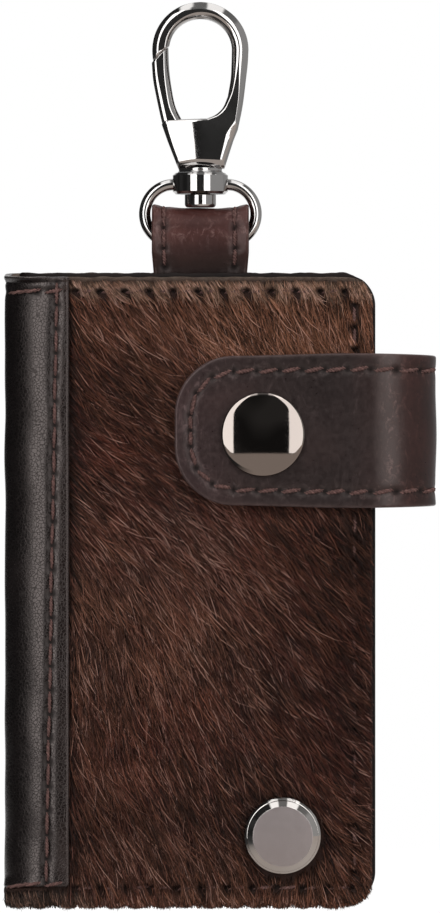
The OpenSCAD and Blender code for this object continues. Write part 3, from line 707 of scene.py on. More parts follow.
# Light flecks along the strap's bend, a mottled painted highlight
flecked_highlight = (lambda s, w: s - 34.2, 0.0, 0.7)
outer = (STRAP_SKIN, STRAP_THICK)
strap = strip("strap_leather_front", moving, width, outer, (STRAP_CORNER, 0),
              STRAP_MAT, "strap", "strap_leather", 0.3, 0.36, 0.3, holes=strap_holes,
              grooves=strap_rows + [(end_groove, 0.12, 0.7), flecked_highlight], wave=wavy(14, 0.09, 5),
              free=(True, False))
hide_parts("strap_outer")
strap_skin = strip("strap_lining_front", moving, width, (0, STRAP_SKIN), (STRAP_CORNER, 0),
                   LINING_MAT, "strap", "lining_leather", 0.7, 0.3, 0.5, free=(True, False))
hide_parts("strap_lining")
crease = strip("strap_bend", bend, width, (0, STRAP_THICK), (0, 0), STRAP_MAT, None, "strap_leather",
               0.25, 0.5, 0.25, free=(False, False))
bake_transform(crease)
anchor_leather = strip("strap_leather_back", anchor, width, outer, (0, STRAP_CORNER),
                       STRAP_MAT, "case", "strap_leather", 0.32, 0.5, 0.25, holes=anchor_holes,
                       grooves=back_rows, wave=wavy(14, 0.06, 8), free=(False, True))
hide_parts("strap_anchor")
anchor_skin = strip("strap_lining_back", anchor, width, (0, STRAP_SKIN), (0, STRAP_CORNER),
                    LINING_MAT, "case", "lining_leather", 0.8, 0.3, 0.5, free=(False, True))
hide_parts("strap_anchor_lining")
strap_thread = stitches("strap_stitches", [(moving, 2.05, strap_holes, 0.3)], "strap", 0.84, 0.24)
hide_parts("strap_thread")
anchor_thread = stitches("anchor_stitches", [(anchor, 2.05, anchor_holes, 0.3)], "case", 0.84, 0.24)
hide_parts("strap_anchor_thread")


# Hang tab
TAB_TAIL, TAB_HALF, TAB_THICK = -54.0, 7.6, 1.4


def tab_track():
    """From the front tail's end up over the ring's bar and down the back, along the tab's inner face."""
    r, bar_z = 2.1, -34.2
    front = [(-1.7, TAB_TAIL), (-1.7, -40.56), (-r, -38.36), (-r, bar_z)]
    normals = [(-1, 0), (-0.99, 0.09), (-0.99, 0.09), (-1, 0)]
    back = [(-a, b) for a, b in front[::-1]], [(-a, b) for a, b in normals[::-1]]
    return Track(*joined((front, normals), arc(0, bar_z, r, 180, 0, 15), back), plane="yz")


def tab_way(z):
    """The way along the tab at which its front has this height."""
    return z - TAB_TAIL + 0.03


def lift_corners(ob):
    """The tab's loop stands higher towards its sides, and it is a little wider there."""
    co = np.zeros(len(ob.data.vertices) * 3)
    ob.data.vertices.foreach_get("co", co)
    x, y, z = co.reshape(-1, 3).T / MM
    side = np.abs(x)
    near = unit((z + 36.5) / 4.5) ** 1.5
    z = z + 0.75 * near * unit((side - 2.6) / 5.0) ** 1.3
    mouth = 0.45 * unit((side - 6.0) / 1.5) * unit(1 - ((z + 35.6) / 3.2) ** 2)
    y = y + np.sign(y) * mouth
    x = x * (1 + 0.035 * unit((z + 41.0) / 3))
    ob.data.vertices.foreach_set("co", (np.c_[x, y, z] * MM).ravel())


tab_line = tab_track()
tab_seams = (-5.7, 5.4)
tab_runs = [[(tab_way(z), x) for z in (-40.4, -37.3, -34.2)] + [(tab_way(-34.2) + 2.9, x)] for x in tab_seams]
# The groove of no depth at -34.9 puts light flecks into the tab's painted highlight.
tab = strip("hang_tab_leather", tab_line, (-TAB_HALF, TAB_HALF), (0, TAB_THICK), (0.4, 0.4), TAB_MAT,
            "case", "tab_leather", 0.3, 0.5, 0.25, holes=sum(tab_runs, []),
            grooves=[(lambda s, w, k=k: w - k, 0.1, 0.7) for k in tab_seams]
            + [(lambda s, w: s - tab_way(-34.9), 0.0, 0.7)], wave=wavy(9, 0.06, 4))
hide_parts("hang_tab")
lift_corners(tab)
tab_runs += [[(tab_line.length - s, w) for s, w in run] for run in tab_runs]
runs = [(tab_line, TAB_THICK - 0.04, holes, 0.0) for holes in tab_runs]
tab_thread = stitches("hang_tab_stitches", runs, "case", 0.74, 0.22)
lift_corners(tab_thread)
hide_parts("hang_tab_thread")


# Hook
BOW_W, BOW_H, EYE_W, EYE_H = 7.8, 24.3, 5.1, 16.2


def curve_through(shares, width, height, n):
    """A smooth line through points that are given as shares of a width and of a height below the top."""
    p = np.array([(a * width, -b * height) for a, b in shares])
    p = np.r_[[2 * p[0] - p[1]], p, [2 * p[-1] - p[-2]]]
    t = np.linspace(0, 1, n, endpoint=False)[:, None]
    out = [b + 0.5 * ((c - a) * t + (2 * a - 5 * b + 4 * c - d) * t ** 2 + (3 * b - 3 * c + d - a) * t ** 3)
           for a, b, c, d in zip(p, p[1:], p[2:], p[3:])]
    return np.concatenate(out + [p[-2:-1]])


def resample(points, n):
    p = np.array(points, float)
    way = np.r_[0, np.cumsum(np.linalg.norm(np.diff(p, axis=0), axis=1))]
    t = np.linspace(0, way[-1], n)
    return np.c_[np.interp(t, way, p[:, 0]), np.interp(t, way, p[:, 1])]


def polyline(first, *stretches):
    """A line and what follows it; each stretch is its points and how many samples it has."""
    return np.concatenate([first] + [resample(points, n)[1:] for points, n in stretches])


def bevel_section(width, half, wall, outer, inner):
    """Distances from the outer line and heights of a bar's front half, with a steep bevel and a shallow facet
    each side."""
    fit = min(1.0, width / (sum(outer) + sum(inner) + 0.24))

    def side(bevel, facet):
        rise = 0.26 * facet
        return [(0, wall), (0.05, wall + 0.1), (bevel - 0.05, half - rise - 0.045),
                (bevel + 0.03, half - rise + 0.006), (bevel + facet - 0.03, half - 0.012),
                (bevel + facet + 0.05, half), (bevel + facet + 0.1, half)]
    return [(d * fit, h) for d, h in side(*outer)] + [(width - d * fit, h) for d, h in side(*inner)[::-1]]


def swept(name, outer, inner, section, body, tip, relief=None):
    """A bevelled bar between an outer and an inner line in X and Z; tip gives how far its start reaches out
    at each share of its width."""
    rings = []
    for o, i in zip(outer, inner):
        w = np.linalg.norm(i - o)
        d, h = np.array(bevel_section(w, *section(o, i))).T
        q = o + (i - o) * (d / w)[:, None]
        if relief:
            h = h - relief(q[:, 0], q[:, 1])
        rings.append(np.r_[np.c_[q[:, 0], -h, q[:, 1]], np.c_[q[::-1, 0], h[::-1], q[::-1, 1]]])

    def outwards(at, way):
        d = outer[at] + inner[at] - outer[at + 2 * way] - inner[at + 2 * way]
        return np.array([d[0], 0, d[1]]) / np.linalg.norm(d)

    def blunted(at, way):
        """Two smaller rings that round off an end, from the bar outwards."""
        mid = rings[at].mean(0)
        return [mid + (rings[at] - mid) * size + outwards(at, way) * reach
                for size, reach in ((0.95, 0.07), (0.84, 0.11))]
    across = inner[0] - outer[0]
    for k in range(6):
        share = ((rings[k][:, [0, 2]] - outer[0]) @ across) / np.dot(across, across)
        shift = np.interp(share, *zip(*tip)) * (1 - k / 6)
        rings[k] = rings[k] + shift[:, None] * outwards(0, 1)
    rings = blunted(0, 1)[::-1] + rings + blunted(len(outer) - 1, -1)
    k = len(rings[0])
    idx = np.arange(len(rings) * k).reshape(-1, k)
    j = np.roll(idx, -1, 1)
    faces = np.stack([idx[:-1], idx[1:], j[1:], j[:-1]], -1).reshape(-1, 4).tolist()
    for ring in (idx[0].tolist(), idx[-1][::-1].tolist()):
        faces += [(ring[t], ring[t + 1], ring[k - 2 - t], ring[k - 1 - t]) for t in range(k // 2 - 1)]
    return add_mesh(name, np.concatenate(rings), faces, DARK_NICKEL, body, "polished_nickel")


def ease(x, a, b):
    t = unit((np.asarray(x, float) - a) / (b - a))
    return t * t * (3 - 2 * t)


def hook_section(o, i):
    low = float(ease((o[1] + i[1]) / 2, -13, -17.5))
    left = float(ease(-o[0], 0.5, 5.0))

    def part(right, at_left, block):
        return (right + (at_left - right) * left) * (1 - low) + block * low
    return (2.3, 1.42, (part(0.92, 0.62, 0.6), part(0.5, 0.5, 0.9 - 0.5 * left)),
            (part(0.7, 0.85, 0.25), part(0.42, 0.16, 0.2)))


def face_tilt(x, z):
    """The bow is thinner than the block, and the block's front falls away to the left of its middle."""
    falls = 0.168 * 0.35 * np.logaddexp(0, -(x + 0.25) / 0.35) * ease(z, -14.5, -17.0)
    return falls + 0.6 * (1 - ease(z, -10.5, -17.5))


def bow_arc(r, start):
    return arc(0, -EYE_W, r, start, 0, 60)[0]


side = curve_through([(1.0, 0.21), (0.985, 0.3), (0.95, 0.4), (0.88, 0.58), (0.78, 0.74)], BOW_W, BOW_H, 8)
eye = curve_through([(1.0, 0.315), (0.99, 0.45), (0.965, 0.6), (0.87, 0.78)], EYE_W, EYE_H, 8)
eye_turn = curve_through([(0.87, 0.78), (0.72, 0.89), (0.49, 0.96), (0.2, 1.0)], EYE_W, EYE_H, 8)
block = [(5.35, -19.8), (3.9, -BOW_H), (-3.6, -BOW_H), (-5.3, -19.9), (-6.25, -17.2)]
eye_foot = [eye_turn[-1], (-4.4, -16.35), (-5.3, -16.4)]
outer_line = polyline(bow_arc(BOW_W, 191), (side, 26), ([side[-1], block[0]], 18), (block[0:2], 8),
                      (block[1:3], 12), (block[2:4], 8), (block[3:5], 8))
inner_line = polyline(bow_arc(EYE_W, 170), (eye, 26), (eye_turn, 18), (eye_foot, 33))
bow = swept("hook_bow", outer_line, inner_line, hook_section, "hook",
            ((0, 0.25), (0.3, 0.1), (0.42, -0.35), (0.62, -0.42), (0.75, 0.05), (1, 0.15)), face_tilt)
gate_out = [(-1.01, 0.295), (-0.985, 0.4), (-0.93, 0.5), (-0.8, 0.69), (-0.72, 0.755)]
gate_in = [(-0.665, 0.2), (-0.65, 0.33), (-0.6, 0.46), (-0.52, 0.585), (-0.38, 0.68), (-0.3, 0.735)]
gate_out, gate_in = (resample(curve_through(shares, BOW_W, BOW_H, 6), 50) for shares in (gate_out, gate_in))
gate = swept("hook_gate", gate_out, gate_in, lambda o, i: (1.2, 0.5, (0.35, 0.5), (0.8, 0.2)), "gate",
             ((0, 0), (0.3, 0.0), (0.45, 0.42), (0.7, 0.36), (1, 0.1)))
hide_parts("gate")
lathe("hook_neck", [(1.7, -24.9), (3.75, -24.9), (3.5, -24.65), (3.6, -24.2), (1.7, -24.2)], (0, 0),
      DARK_NICKEL, "hook", upright=True, rounds={1: 0.1, 2: 0.15})
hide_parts("hook_body")
pin_line = [(0, -30.6), (2.55, -30.6), (2.55, -28.5), (1.6, -28.5), (1.6, -21.2), (0, -21.2)]
pin = lathe("swivel_pin_head", pin_line, (0, 0), DARK_NICKEL, "hook", upright=True, rounds={1: 0.55, 2: 0.12})
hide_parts("swivel_pin")
pivot = (-0.56 * BOW_W, -0.76 * BOW_H)
stud = lathe("gate_pin_stud", [(0, -2.28), (0.62, -2.28), (0.62, 2.26), (0, 2.26)], pivot,
             DARK_NICKEL, "hook", rounds={1: 0.04, 2: 0.04}, steps=32)
for v in stud.data.vertices:
    v.co.y -= math.copysign(float(face_tilt(v.co.x / MM, v.co.z / MM)) * MM, v.co.y)
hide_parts("gate_pin")

# The parts that stay as the CAD has them
for mat, names in ((STEEL, ("gate_spring", "snap_spring", "knob_screw")), (DARK_NICKEL, ("swivel_ring",)),
                   (NICKEL, ("snap_socket", "snap_stud", "snap_rivet", "post_barrel")),
                   (PLASTIC, ("key_spacers",))):
    for name in names:
        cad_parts[name].data.materials.clear()
        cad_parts[name].data.materials.append(mat)

# Snap and knob
CAP_R, CAP_H, FLANGE_R = 6.8, 1.8, 6.2
CAP_BASE, FLANGE_BASE, KNOB_BASE = -8.9, -5.4, -6.25


def cap_profile():
    """The cap's dome: a shallow ball whose slope grows fast near its tightly rounded rim."""
    r = np.linspace(0.0, 0.97, 60)
    slope = 0.195 * r + 0.26 * unit((r - 0.85) / 0.12) ** 2
    drop = np.r_[0, np.cumsum((slope[1:] + slope[:-1]) / 2 * np.diff(r))] * CAP_R
    dome = [(CAP_R * a, CAP_H - d) for a, d in zip(r, drop)][::-1]
    x0, y0 = dome[0]
    over = CAP_R - x0
    rim = [(x0 + over * math.sin(t), y0 - (y0 - 0.35) * (1 - math.cos(t)) * 0.8 - 0.2 * over * t)
           for t in np.linspace(math.pi / 2, 0.25, 7)]
    return rim + dome


cap = lathe("snap_cap_dome", [(0, -2.5), (2, -2.5), (2, 0), (6.6, 0), (6.8, 0.15)] + cap_profile(), SNAP,
            CAP_NICKEL, "strap", CAP_BASE, steps=128)
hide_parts("snap_cap")
flange = [(1.56, 0.03), (FLANGE_R, 0.03), (FLANGE_R, 0.5), (5.76, 0.8), (1.56, 0.8)]
washer = lathe("knob_flange", flange, POST, NICKEL, "washer", FLANGE_BASE, rounds={1: 0.1, 2: 0.1, 3: 0.08},
               steps=128)
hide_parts("knob_washer")
button = [(0, 0), (5.74, 0), (5.74, 1.86), (5.0, 2.44), (4.84, 2.6), (0, 2.6)]
knob = lathe("knob_button", button, POST, SATIN, "knob", KNOB_BASE,
             rounds={1: 0.1, 2: 0.08, 3: 0.04, 4: 0.05}, steps=128, slot="brushed_nickel")
knob.data.materials.append(NICKEL)
for face in knob.data.polygons:
    face.material_index = 0 if face.normal.y < -0.97 else 1
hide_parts("knob")


# Hair. Each table holds places across and up the cover with a value: the hair's lean in degrees, how warm and
# how light its tone is, and how pale it is. STRAND_AT has where a strand's rings and its tip lie along it.
LEAN = [(-18, -47, 30), (-5, -47, 30), (8, -48, 22), (22, -48, 12), (-18, -57, 44), (-8, -58, 46),
        (2, -55, 34), (15, -54, 20), (25, -54, 14), (-18, -70, 52), (-8, -72, 50), (-18, -82, 42),
        (-6, -84, 42), (8, -84, 42), (22, -84, 35), (-18, -92, 20), (-6, -94, 22), (8, -94, 36),
        (22, -94, 40), (-18, -102, 8), (-6, -104, 10), (6, -104, 24), (20, -104, 42), (-18, -114, 14),
        (-4, -116, 22), (10, -116, 34), (24, -116, 44), (-18, -128, 22), (-2, -128, 26), (6, -130, 34),
        (24, -128, 52), (-18, -140, 12), (0, -140, 8), (14, -141, -12), (25, -140, 30)]
WARM = [(-18, -46, 0.55), (0, -46, 0.75), (14, -47, 0.9), (25, -47, 0.85), (-18, -53, 0.2), (-4, -54, 0.28),
        (12, -53, 0.8), (24, -53, 0.85), (-18, -66, 0.08), (-8, -75, 0.05), (0, -84, 0.05), (20, -84, 0.1),
        (-18, -96, 0.3), (-4, -98, 0.28), (10, -100, 0.08), (24, -84, 0.3), (22, -100, 0.1),
        (-18, -112, 0.2), (0, -112, 0.08), (20, -112, 0.0), (-18, -128, 0.12), (0, -128, 0.15),
        (24, -130, 0.2), (-18, -141, 0.3), (-4, -142, 0.35), (10, -142, 0.45), (22, -141, 0.5)]
LIGHT = [(-18, -46, 0.1), (0, -46, 0.1), (14, -47, 0.09), (25, -47, 0.05), (-18, -55, -0.05),
         (-4, -57, -0.2), (12, -53, 0.0), (24, -53, -0.01), (-18, -66, -0.04), (-8, -72, -0.06),
         (-18, -80, 0.05), (-4, -84, 0.15), (8, -88, 0.03), (22, -84, -0.26), (-18, -96, 0.0),
         (-4, -98, 0.08), (8, -100, -0.02), (22, -98, -0.15), (-18, -112, 0.02), (0, -112, 0.0),
         (20, -112, -0.07), (-18, -128, -0.02), (0, -128, -0.02), (24, -130, -0.04), (6, -126, -0.1),
         (-18, -141, -0.02), (-4, -142, 0.0), (10, -142, 0.0), (22, -141, -0.02)]
PALE = [(-13, -100, 0.07), (-2, -84, 0.06), (-8, -133, 0.045), (20, -90, 0.0), (22, -110, 0.0),
        (0, -70, 0.0), (-14, -62, 0.0), (10, -52, 0.0), (0, -118, 0.02), (-18, -118, 0.02), (22, -136, 0.0)]
CORNER_X = HIDE_RIGHT - CORNER
CLUMP = 1.5
STRAND_VERTS, STRANDS_EACH = 13, 15000
STRAND_AT = (0, 0.3, 0.62, 0.86, 1.0)


def interpolate(table, x, z):
    """Smooth look-up of scattered values by inverse distance."""
    num = den = 0.0
    for px, pz, value in table:
        w = 1.0 / ((x - px) ** 2 + (z - pz) ** 2 + 16.0) ** 1.5
        num, den = num + w * value, den + w
    return num / den


def clump_share(x, z, a, b, c):
    """A share from 0 to 1 that is the same for all hairs of a clump."""
    gx = np.round(x / CLUMP + 0.35 * np.sin(z * 1.3))
    gz = np.round(z / CLUMP + 0.35 * np.sin(x * 1.7))
    h = np.sin(gx * a + gz * b) * c
    return h - np.floor(h)


def fur_places(side, count, r):
    """Where hairs grow: clear of the band, the rounded corners, the post and most of what the strap hides."""
    x = r.uniform(-21.6, HIDE_RIGHT - 0.1, count)
    z = r.uniform(BOTTOM + 0.2, TOP - 0.1, count)
    high = r.random(count) < 0.06
    z[high] = TOP - 0.9 - np.abs(r.normal(0, 0.8, high.sum()))
    low = r.random(count) < 0.08
    x[low] = r.uniform(-31.8, 27.2, low.sum())
    z[low] = r.uniform(BOTTOM + 0.1, BOTTOM + 2.8, low.sum())
    corner = (x > CORNER_X) & ((z > TOP - CORNER) | (z < BOTTOM + CORNER))
    corner_z = np.where(z > -90, TOP - CORNER, BOTTOM + CORNER)
    keep = ~(corner & (np.hypot(x - CORNER_X, z - corner_z) > CORNER))
    keep &= (x > BAND_EDGE - 0.4) | (z < BAND_BOTTOM + 0.1)
    keep &= z < TOP - 0.95 - 0.25 * np.sin(x * 2.1) * np.sin(x * 0.7)
    keep &= np.hypot(x - POST[0], z - POST[1]) > (FLANGE_R + 0.1 if side < 0 else 5.2)
    if side < 0:
        hidden = (x > 3) & (x < 28) & (z > STRAP_LOW + 3.5) & (z < STRAP_HIGH - 3.5)
        keep &= ~hidden | (r.random(count) < 0.3)
    else:
        keep &= ~((x > ANCHOR_END + 1) & (z > STRAP_LOW + 0.8) & (z < STRAP_HIGH - 0.8))
    return x[keep], z[keep]


def add_strands(name, side, verts, **attributes):
    """Puts strands of four three-sided rings and a tip into a few pieces."""
    quads = [(3 * i + k, 3 * i + 3 + k, 3 * i + 3 + m, 3 * i + m) for i in range(3)
             for k, m in ((0, 1), (1, 2), (2, 0))]
    tris = [(0, 1, 2), (9, 12, 10), (10, 12, 11), (11, 12, 9)]
    quads, tris = np.array(quads)[:, ::side], np.array(tris)[:, ::side]
    for first in range(0, len(verts), STRANDS_EACH):
        part = slice(first, first + STRANDS_EACH)
        m = len(verts[part])
        base = (np.arange(m) * STRAND_VERTS)[:, None, None]
        q, t = (quads + base).reshape(-1, 4), (tris + base).reshape(-1, 3)
        starts = np.r_[np.arange(len(q)) * 4, len(q) * 4 + np.arange(len(t)) * 3]
        me = bpy.data.meshes.new(name)
        me.vertices.add(m * STRAND_VERTS)
        me.vertices.foreach_set("co", (verts[part] * MM).astype(np.float32).ravel())
        me.loops.add(q.size + t.size)
        me.loops.foreach_set("vertex_index", np.r_[q.ravel(), t.ravel()].astype(np.int32))
        me.polygons.add(len(starts))
        me.polygons.foreach_set("loop_start", starts.astype(np.int32))
        me.update(calc_edges=True)
        me.validate()
        me.polygons.foreach_set("use_smooth", [True] * len(me.polygons))
        for key, values in attributes.items():
            add_attributes(me, **{key: np.broadcast_to(values, verts.shape[:2])[part]})
        add_object(f"{name}_{first // STRANDS_EACH + 1}", me, HAIR, "case")


def free_length(x, z, dir_x, dir_z, length, side, holes):
    """The hairs' lengths, cut where they meet a stitch hole, the rounded corner or the knob's flange."""
    run = np.linspace(0, 1, 9)
    way_x, way_z = (a[:, None] + length[:, None] * run * b[:, None] for a, b in ((x, dir_x), (z, dir_z)))

    def free_share(hit):
        return np.where(hit.any(1), run[hit.argmax(1)], 1.0)
    for hx, hz, wide in holes:
        near = (np.abs(x - hx) < 9) & (np.abs(z - hz) < 9)
        hit = ((way_x[near] - hx) / 0.7) ** 2 + ((way_z[near] - hz) / 0.5) ** 2 < wide ** 2
        length[near] *= np.maximum(free_share(hit), 0.02)
    past = np.hypot(way_x - CORNER_X, way_z - BOTTOM - CORNER) > CORNER + 0.35
    past &= (way_x > CORNER_X) & (way_z < BOTTOM + CORNER)
    length *= np.maximum(free_share(past), 0.05)
    if side < 0:
        hit = np.hypot(way_x - POST[0], way_z - POST[1]) < FLANGE_R + 0.15
        length *= np.maximum(free_share(hit) - 0.06 * hit.any(1), 0.02)
    return length


def flattened(rise, x, z, length, side):
    """How high the hairs stand: lower when short, and at the seams, the edges and the strap."""
    rise *= np.clip(length / 1.5, 0.05, 1)
    seam = np.minimum.reduce([np.abs(z - SEAM_TOP), np.abs(z - SEAM_LOW), np.abs(x - SEAM_RIGHT)])
    edge = np.minimum.reduce([HIDE_RIGHT - x, TOP - z, z - BOTTOM])
    rise *= (0.7 + 0.3 * unit(seam / 1.6)) * (0.6 + 0.4 * unit(edge / 2))
    if side < 0:
        strap_near = (x > STRAP_END - 6) & (z > STRAP_LOW - 1) & (z < STRAP_HIGH + 7)
        rise = np.where(strap_near, np.minimum(rise, 0.62), rise)
    return rise


def strand_verts(x, z, dir_x, dir_z, length, curl, rise, wid, blunt, side):
    """Each hair as rings of three and a tip; those below the band's end follow the hide round the spine."""
    verts = np.zeros((len(x), STRAND_VERTS, 3))
    for i, (t, share) in enumerate(zip(STRAND_AT, (1.0, 1.0, 0.9, np.where(blunt, 1.0, 0.6), 0.0))):
        bend = curl * t * t
        px = x + length * t * (dir_x - dir_z * bend)
        pz = z + length * t * (dir_z + dir_x * bend)
        py = HALF_GAP + HIDE_FACE - 0.12 + rise * np.sin(np.pi * min(1.0, t * 0.62 + 0.02))
        for k, (a, b) in enumerate(((-1, 0), (1, 0), (0, 1.1))[:STRAND_VERTS - 3 * i]):
            w = wid * share
            verts[:, 3 * i + k] = np.c_[px - dir_z * w * a, side * (py + w * b), pz + dir_x * w * a]
    turn = np.minimum(verts[..., 0] - FOLD_X, 0)
    far = side * verts[..., 1] - FOLD_Y + swell(-verts[..., 0], verts[..., 2])
    verts[..., 1] = side * (FOLD_Y + np.sqrt(np.maximum(far * far - turn * turn, 0.04)))
    return verts


def hair_shade(verts, x, z, side, holes):
    """Painted shade on the strands beside the stitch holes, and a painted shadow round the knob."""
    shade = np.zeros(verts.shape[:2])
    for hx, hz, wide in holes:
        near = (np.abs(x - hx) < 8) & (np.abs(z - hz) < 8)
        gap = ((verts[near, :, 0] - hx) / 0.95) ** 2 + ((verts[near, :, 2] - hz) / 0.65) ** 2
        shade[near] = np.maximum(shade[near], np.exp(-(gap / wide ** 2) ** 1.5))
    if side < 0:
        ring = np.hypot(verts[..., 0] - POST[0] + 0.5, verts[..., 2] - POST[1] - 0.3) - FLANGE_R
        shade = np.maximum(shade, 0.5 * np.exp(-(np.clip(ring, 0, FAR_OFF) / 0.9) ** 2))
    return shade


def fur(name, side, count, seed, holes):
    """Short hairs laid along the hide's outer face as thin three-sided strands; side is -1 for the front."""
    r = np.random.default_rng(seed)
    x, z = fur_places(side, count, r)
    n = len(x)
    holes = [(HIDE_RIGHT - s, w, 0.6 if -137 < w < -60 else 1.0) for s, w in holes]
    tuft_a, tuft_b = clump_share(x, z, 127.1, 311.7, 43758.5453), clump_share(x, z, 269.5, 183.3, 28001.83)
    lean = np.radians(interpolate(LEAN, x, z) + (tuft_a - 0.5) * 16 + r.normal(0, 6, n))
    dir_x, dir_z = np.sin(lean), -np.cos(lean)
    length = np.clip(r.normal(5.6, 1.5, n), 2.2, 9.5) * (0.8 + 0.4 * tuft_b)
    length *= np.select([z > TOP - 2.5, z > TOP - 4], [0.46, 0.6], 1.0)
    # The fringe hangs in scallops between the stitches, and few hairs pass the hide's right edge.
    scallop = BOTTOM + 0.3 - np.abs(np.sin(np.pi * (x - SEAM_LEFT) / PITCH)) ** 0.6 + 0.25 * (tuft_b - 0.5)
    room = np.maximum(z - scallop, 0.5) / np.maximum(np.cos(lean), 0.4)
    blunt = length > room
    length = np.maximum(np.minimum(length, room * r.uniform(0.9, 1.05, n)), 0.9)
    curl = r.normal(0, 0.12, n) + (tuft_b - 0.5) * 0.24
    tip = x + length * (dir_x - dir_z * curl)
    reach = HIDE_RIGHT + np.where(r.random(n) < 0.03, 0.5, 0.12)
    length *= np.where(tip > reach, np.clip((reach - x) / np.maximum(tip - x, 1e-3), 0.05, 1), 1)
    length = free_length(x, z, dir_x, dir_z, length, side, holes)
    rise = np.clip(r.normal(0.55, 0.25, n), 0.1, 1.15) * (0.75 + 0.5 * tuft_b)
    rise = flattened(rise, x, z, length, side)
    wid = np.clip(r.normal(0.06, 0.016, n), 0.03, 0.1)
    verts = strand_verts(x, z, dir_x, dir_z, length, curl, rise, wid, blunt, side)
    frost = np.clip((z - TOP + 3.0) / 1.6, 0, 0.6) * r.uniform(0.3, 1, n) + interpolate(PALE, x, z)
    frost += np.clip(BAND_BOTTOM + 0.6 - z, 0, 0.3) * (x < -18)
    tone = r.beta(1.9, 2.6, n) + (tuft_a - 0.5) * 0.3 + interpolate(LIGHT, x, z)
    tone = unit(tone + 0.08 * (z > TOP - 3.2) - 0.22 * (x < -21))
    warm = unit(interpolate(WARM, x, z) + (tuft_b - 0.5) * 0.35 + r.normal(0, 0.08, n))
    add_strands(name, side, verts, tone=tone[:, None], warm=warm[:, None], frost=frost[:, None],
                along=np.r_[np.repeat(STRAND_AT[:4], 3), 1.0], shade=hair_shade(verts, x, z, side, holes))


fur("hair_front", -1, 56000, 11, sum(front_runs, []))
fur("hair_back", 1, 28000, 12, top_holes + low_holes + back_right)

# Camera, light and surroundings, in metres
scene = bpy.context.scene
cam = bpy.data.objects.new("camera", bpy.data.cameras.new("camera"))
scene.collection.objects.link(cam)
scene.camera = cam
DIST, FACE, WIDE = 1.3, -0.0072, 0.14726
cam.location = (0.00318, FACE - DIST, -0.07097)
cam.rotation_euler = (math.pi / 2, 0, 0)
cam.data.sensor_width = 36
cam.data.lens = 36 * DIST / WIDE
cam.data.clip_start, cam.data.clip_end = 0.01, 20
TABLE = (0.6, 0.53, 0.485)


def studio_world():
    """A dark room ahead, grey to the right, softly lit all round and white behind the part."""
    world = bpy.data.worlds.new("studio")
    scene.world = world
    world.use_nodes = True
    t = Nodes(world.node_tree)
    coord = t.node("ShaderNodeTexCoord").outputs["Generated"]
    x, y, z = t.axes(coord)
    path = t.node("ShaderNodeLightPath").outputs
    across, up = t.share(x), t.share(z)
    shapes = t.node("ShaderNodeTexNoise", [("Vector", coord), ("Scale", 3.0), ("Detail", 0.0)]).outputs["Fac"]
    seen = t.mix(t.ramp(across, (0.815, 0.0), (0.85, 1.0)), t.ramp(shapes, (0.4, 0.02), (0.7, 0.055)), 0.46)
    lean = t.share(t.math("DIVIDE", x, t.math("MAXIMUM", z, 0.1)), 0.25)
    above = t.ramp(lean, (0.385, 0.03), (0.402, 1.8), (0.462, 1.8), (0.472, 0.24), (0.532, 0.24),
                   (0.542, 1.8), (0.63, 1.8), (0.648, 0.2), (0.78, 0.25), (0.84, 0.46))
    seen = t.mix(t.ramp(up, (0.78, 0.0), (0.83, 1.0)), seen, above)
    below = t.mix(t.ramp(across, (0.15, 0.0), (0.24, 1.0)), 0.05, TABLE)
    seen = t.mix(t.ramp(up, (0.41, 1.0), (0.416, 0.0)), seen, below)
    soft = t.ramp(t.share(y), (0.3, 0.3), (0.75, 0.75))
    colour = t.mix(path["Is Glossy Ray"], soft, seen)
    t.put(t.tree.nodes["Background"], "Color", t.mix(path["Is Camera Ray"], colour, 1.0))


def softbox(name, loc, target, size, radiance, shown=True):
    """An area lamp of a given size and brightness, hidden from the camera."""
    lamp = bpy.data.lights.new(name, "AREA")
    lamp.shape = "RECTANGLE"
    lamp.size, lamp.size_y = size
    lamp.energy = radiance * math.pi * size[0] * size[1]
    ob = bpy.data.objects.new(name, lamp)
    scene.collection.objects.link(ob)
    ob.location = loc
    ob.rotation_mode = "QUATERNION"
    ob.rotation_quaternion = (Vector(target) - Vector(loc)).to_track_quat("-Z", "Y")
    ob.visible_camera = False
    ob.visible_glossy = shown


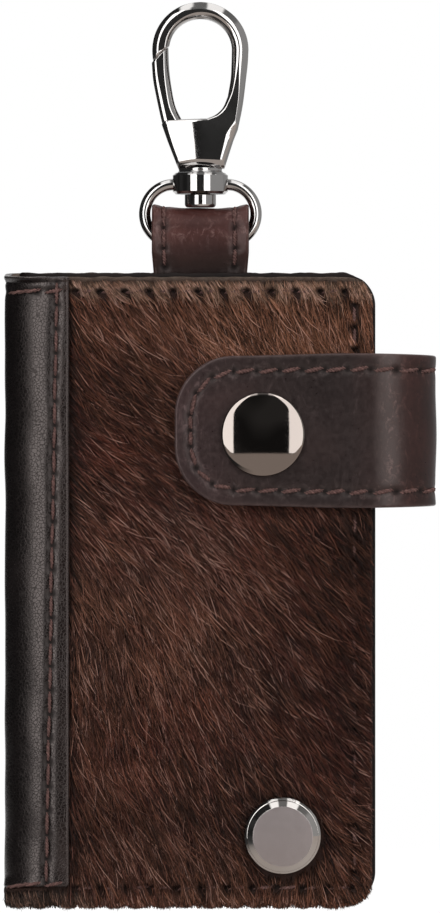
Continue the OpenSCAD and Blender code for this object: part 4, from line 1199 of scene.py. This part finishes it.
def backdrop():
    """A pale floor, and a wall behind that curves up from it and shows in the metal alone."""
    turn_r, wall_y, floor_z = 0.25, 0.6, -0.152
    bend = [(wall_y - turn_r + turn_r * math.sin(a), floor_z + turn_r * (1 - math.cos(a)))
            for a in np.linspace(0, math.pi / 2, 16)]
    t = Surface("backdrop_paper")
    x, y, z = t.axes(t.coord)
    path = t.node("ShaderNodeLightPath").outputs
    across, back = t.share(x, 1.0), t.share(y, 1.0)
    wall = t.ramp(across, (0.2, 0.03), (0.36, 1.0), (0.47, 1.0), (0.49, 0.25), (0.51, 0.25), (0.53, 1.0),
                  (0.64, 1.0), (0.8, 0.4))
    near = t.mix(t.ramp(across, (0.44, 0.0), (0.49, 1.0)), 0.05, TABLE)
    shown = t.mix(t.ramp(back, (0.47, 0.0), (0.62, 1.0)), near, wall)
    glow = t.node("ShaderNodeEmission", [("Color", t.mix(path["Is Camera Ray"], shown, 1.05))]).outputs[0]
    far = t.math("SQRT", t.math("ADD", t.math("MULTIPLY", x, x), t.math("MULTIPLY", y, y)))
    seen = t.math("MULTIPLY", path["Is Camera Ray"], t.ramp(far, (0.07, 0.86), (0.18, 1.0)))
    seen = t.math("ADD", seen, path["Is Glossy Ray"])
    seen = t.math("ADD", seen, path["Is Transmission Ray"], clamp=True)
    mat = t.done(t.ramp(back, (0.4, 0.45), (0.62, 0.9)), 0.9, specular=0.0)
    mixed = t.node("ShaderNodeMixShader", [("Fac", seen), (1, t.bsdf.outputs[0]), (2, glow)]).outputs[0]
    t.put(t.tree.nodes["Material Output"], "Surface", mixed)
    shapes = ("floor", [(-0.2, floor_z), bend[0]], 0.6), ("wall", bend + [(wall_y, 1.4)], 1.8)
    for name, line, wide in shapes:
        n = len(line)
        verts = [(side, *place) for side in (-wide, wide) for place in line]
        me = bpy.data.meshes.new(name)
        me.from_pydata(verts, [], [(i, i + 1, n + i + 1, n + i) for i in range(n - 1)])
        me.shade_smooth()
        me.materials.append(mat)
        ob = bpy.data.objects.new(name, me)
        scene.collection.objects.link(ob)
        ob.visible_camera = name == "floor"


studio_world()
PANEL_D, PANEL_AT, PANEL_HALF_ANGLE = 0.9, math.radians(28), math.radians(13)
PANEL_LOW, PANEL_HIGH = -0.226, 0.833
panel_size = (2 * PANEL_D * math.tan(PANEL_HALF_ANGLE), PANEL_HIGH - PANEL_LOW)
panel_z = (PANEL_LOW + PANEL_HIGH) / 2
for name, sign, radiance in (("key", -1, 3.2), ("fill", 1, 2.9)):
    spot = (sign * PANEL_D * math.sin(PANEL_AT), -PANEL_D * math.cos(PANEL_AT), panel_z)
    softbox(name, spot, (0, 0, panel_z), panel_size, radiance)
for name, x in (("strip_left", -0.085), ("strip_right", 0.085)):
    softbox(name, (x, 0.05, 0.7), (x, 0.05, 0), (0.11, 0.9), 2.5, False)
backdrop()
scene.view_settings.view_transform = "Standard"
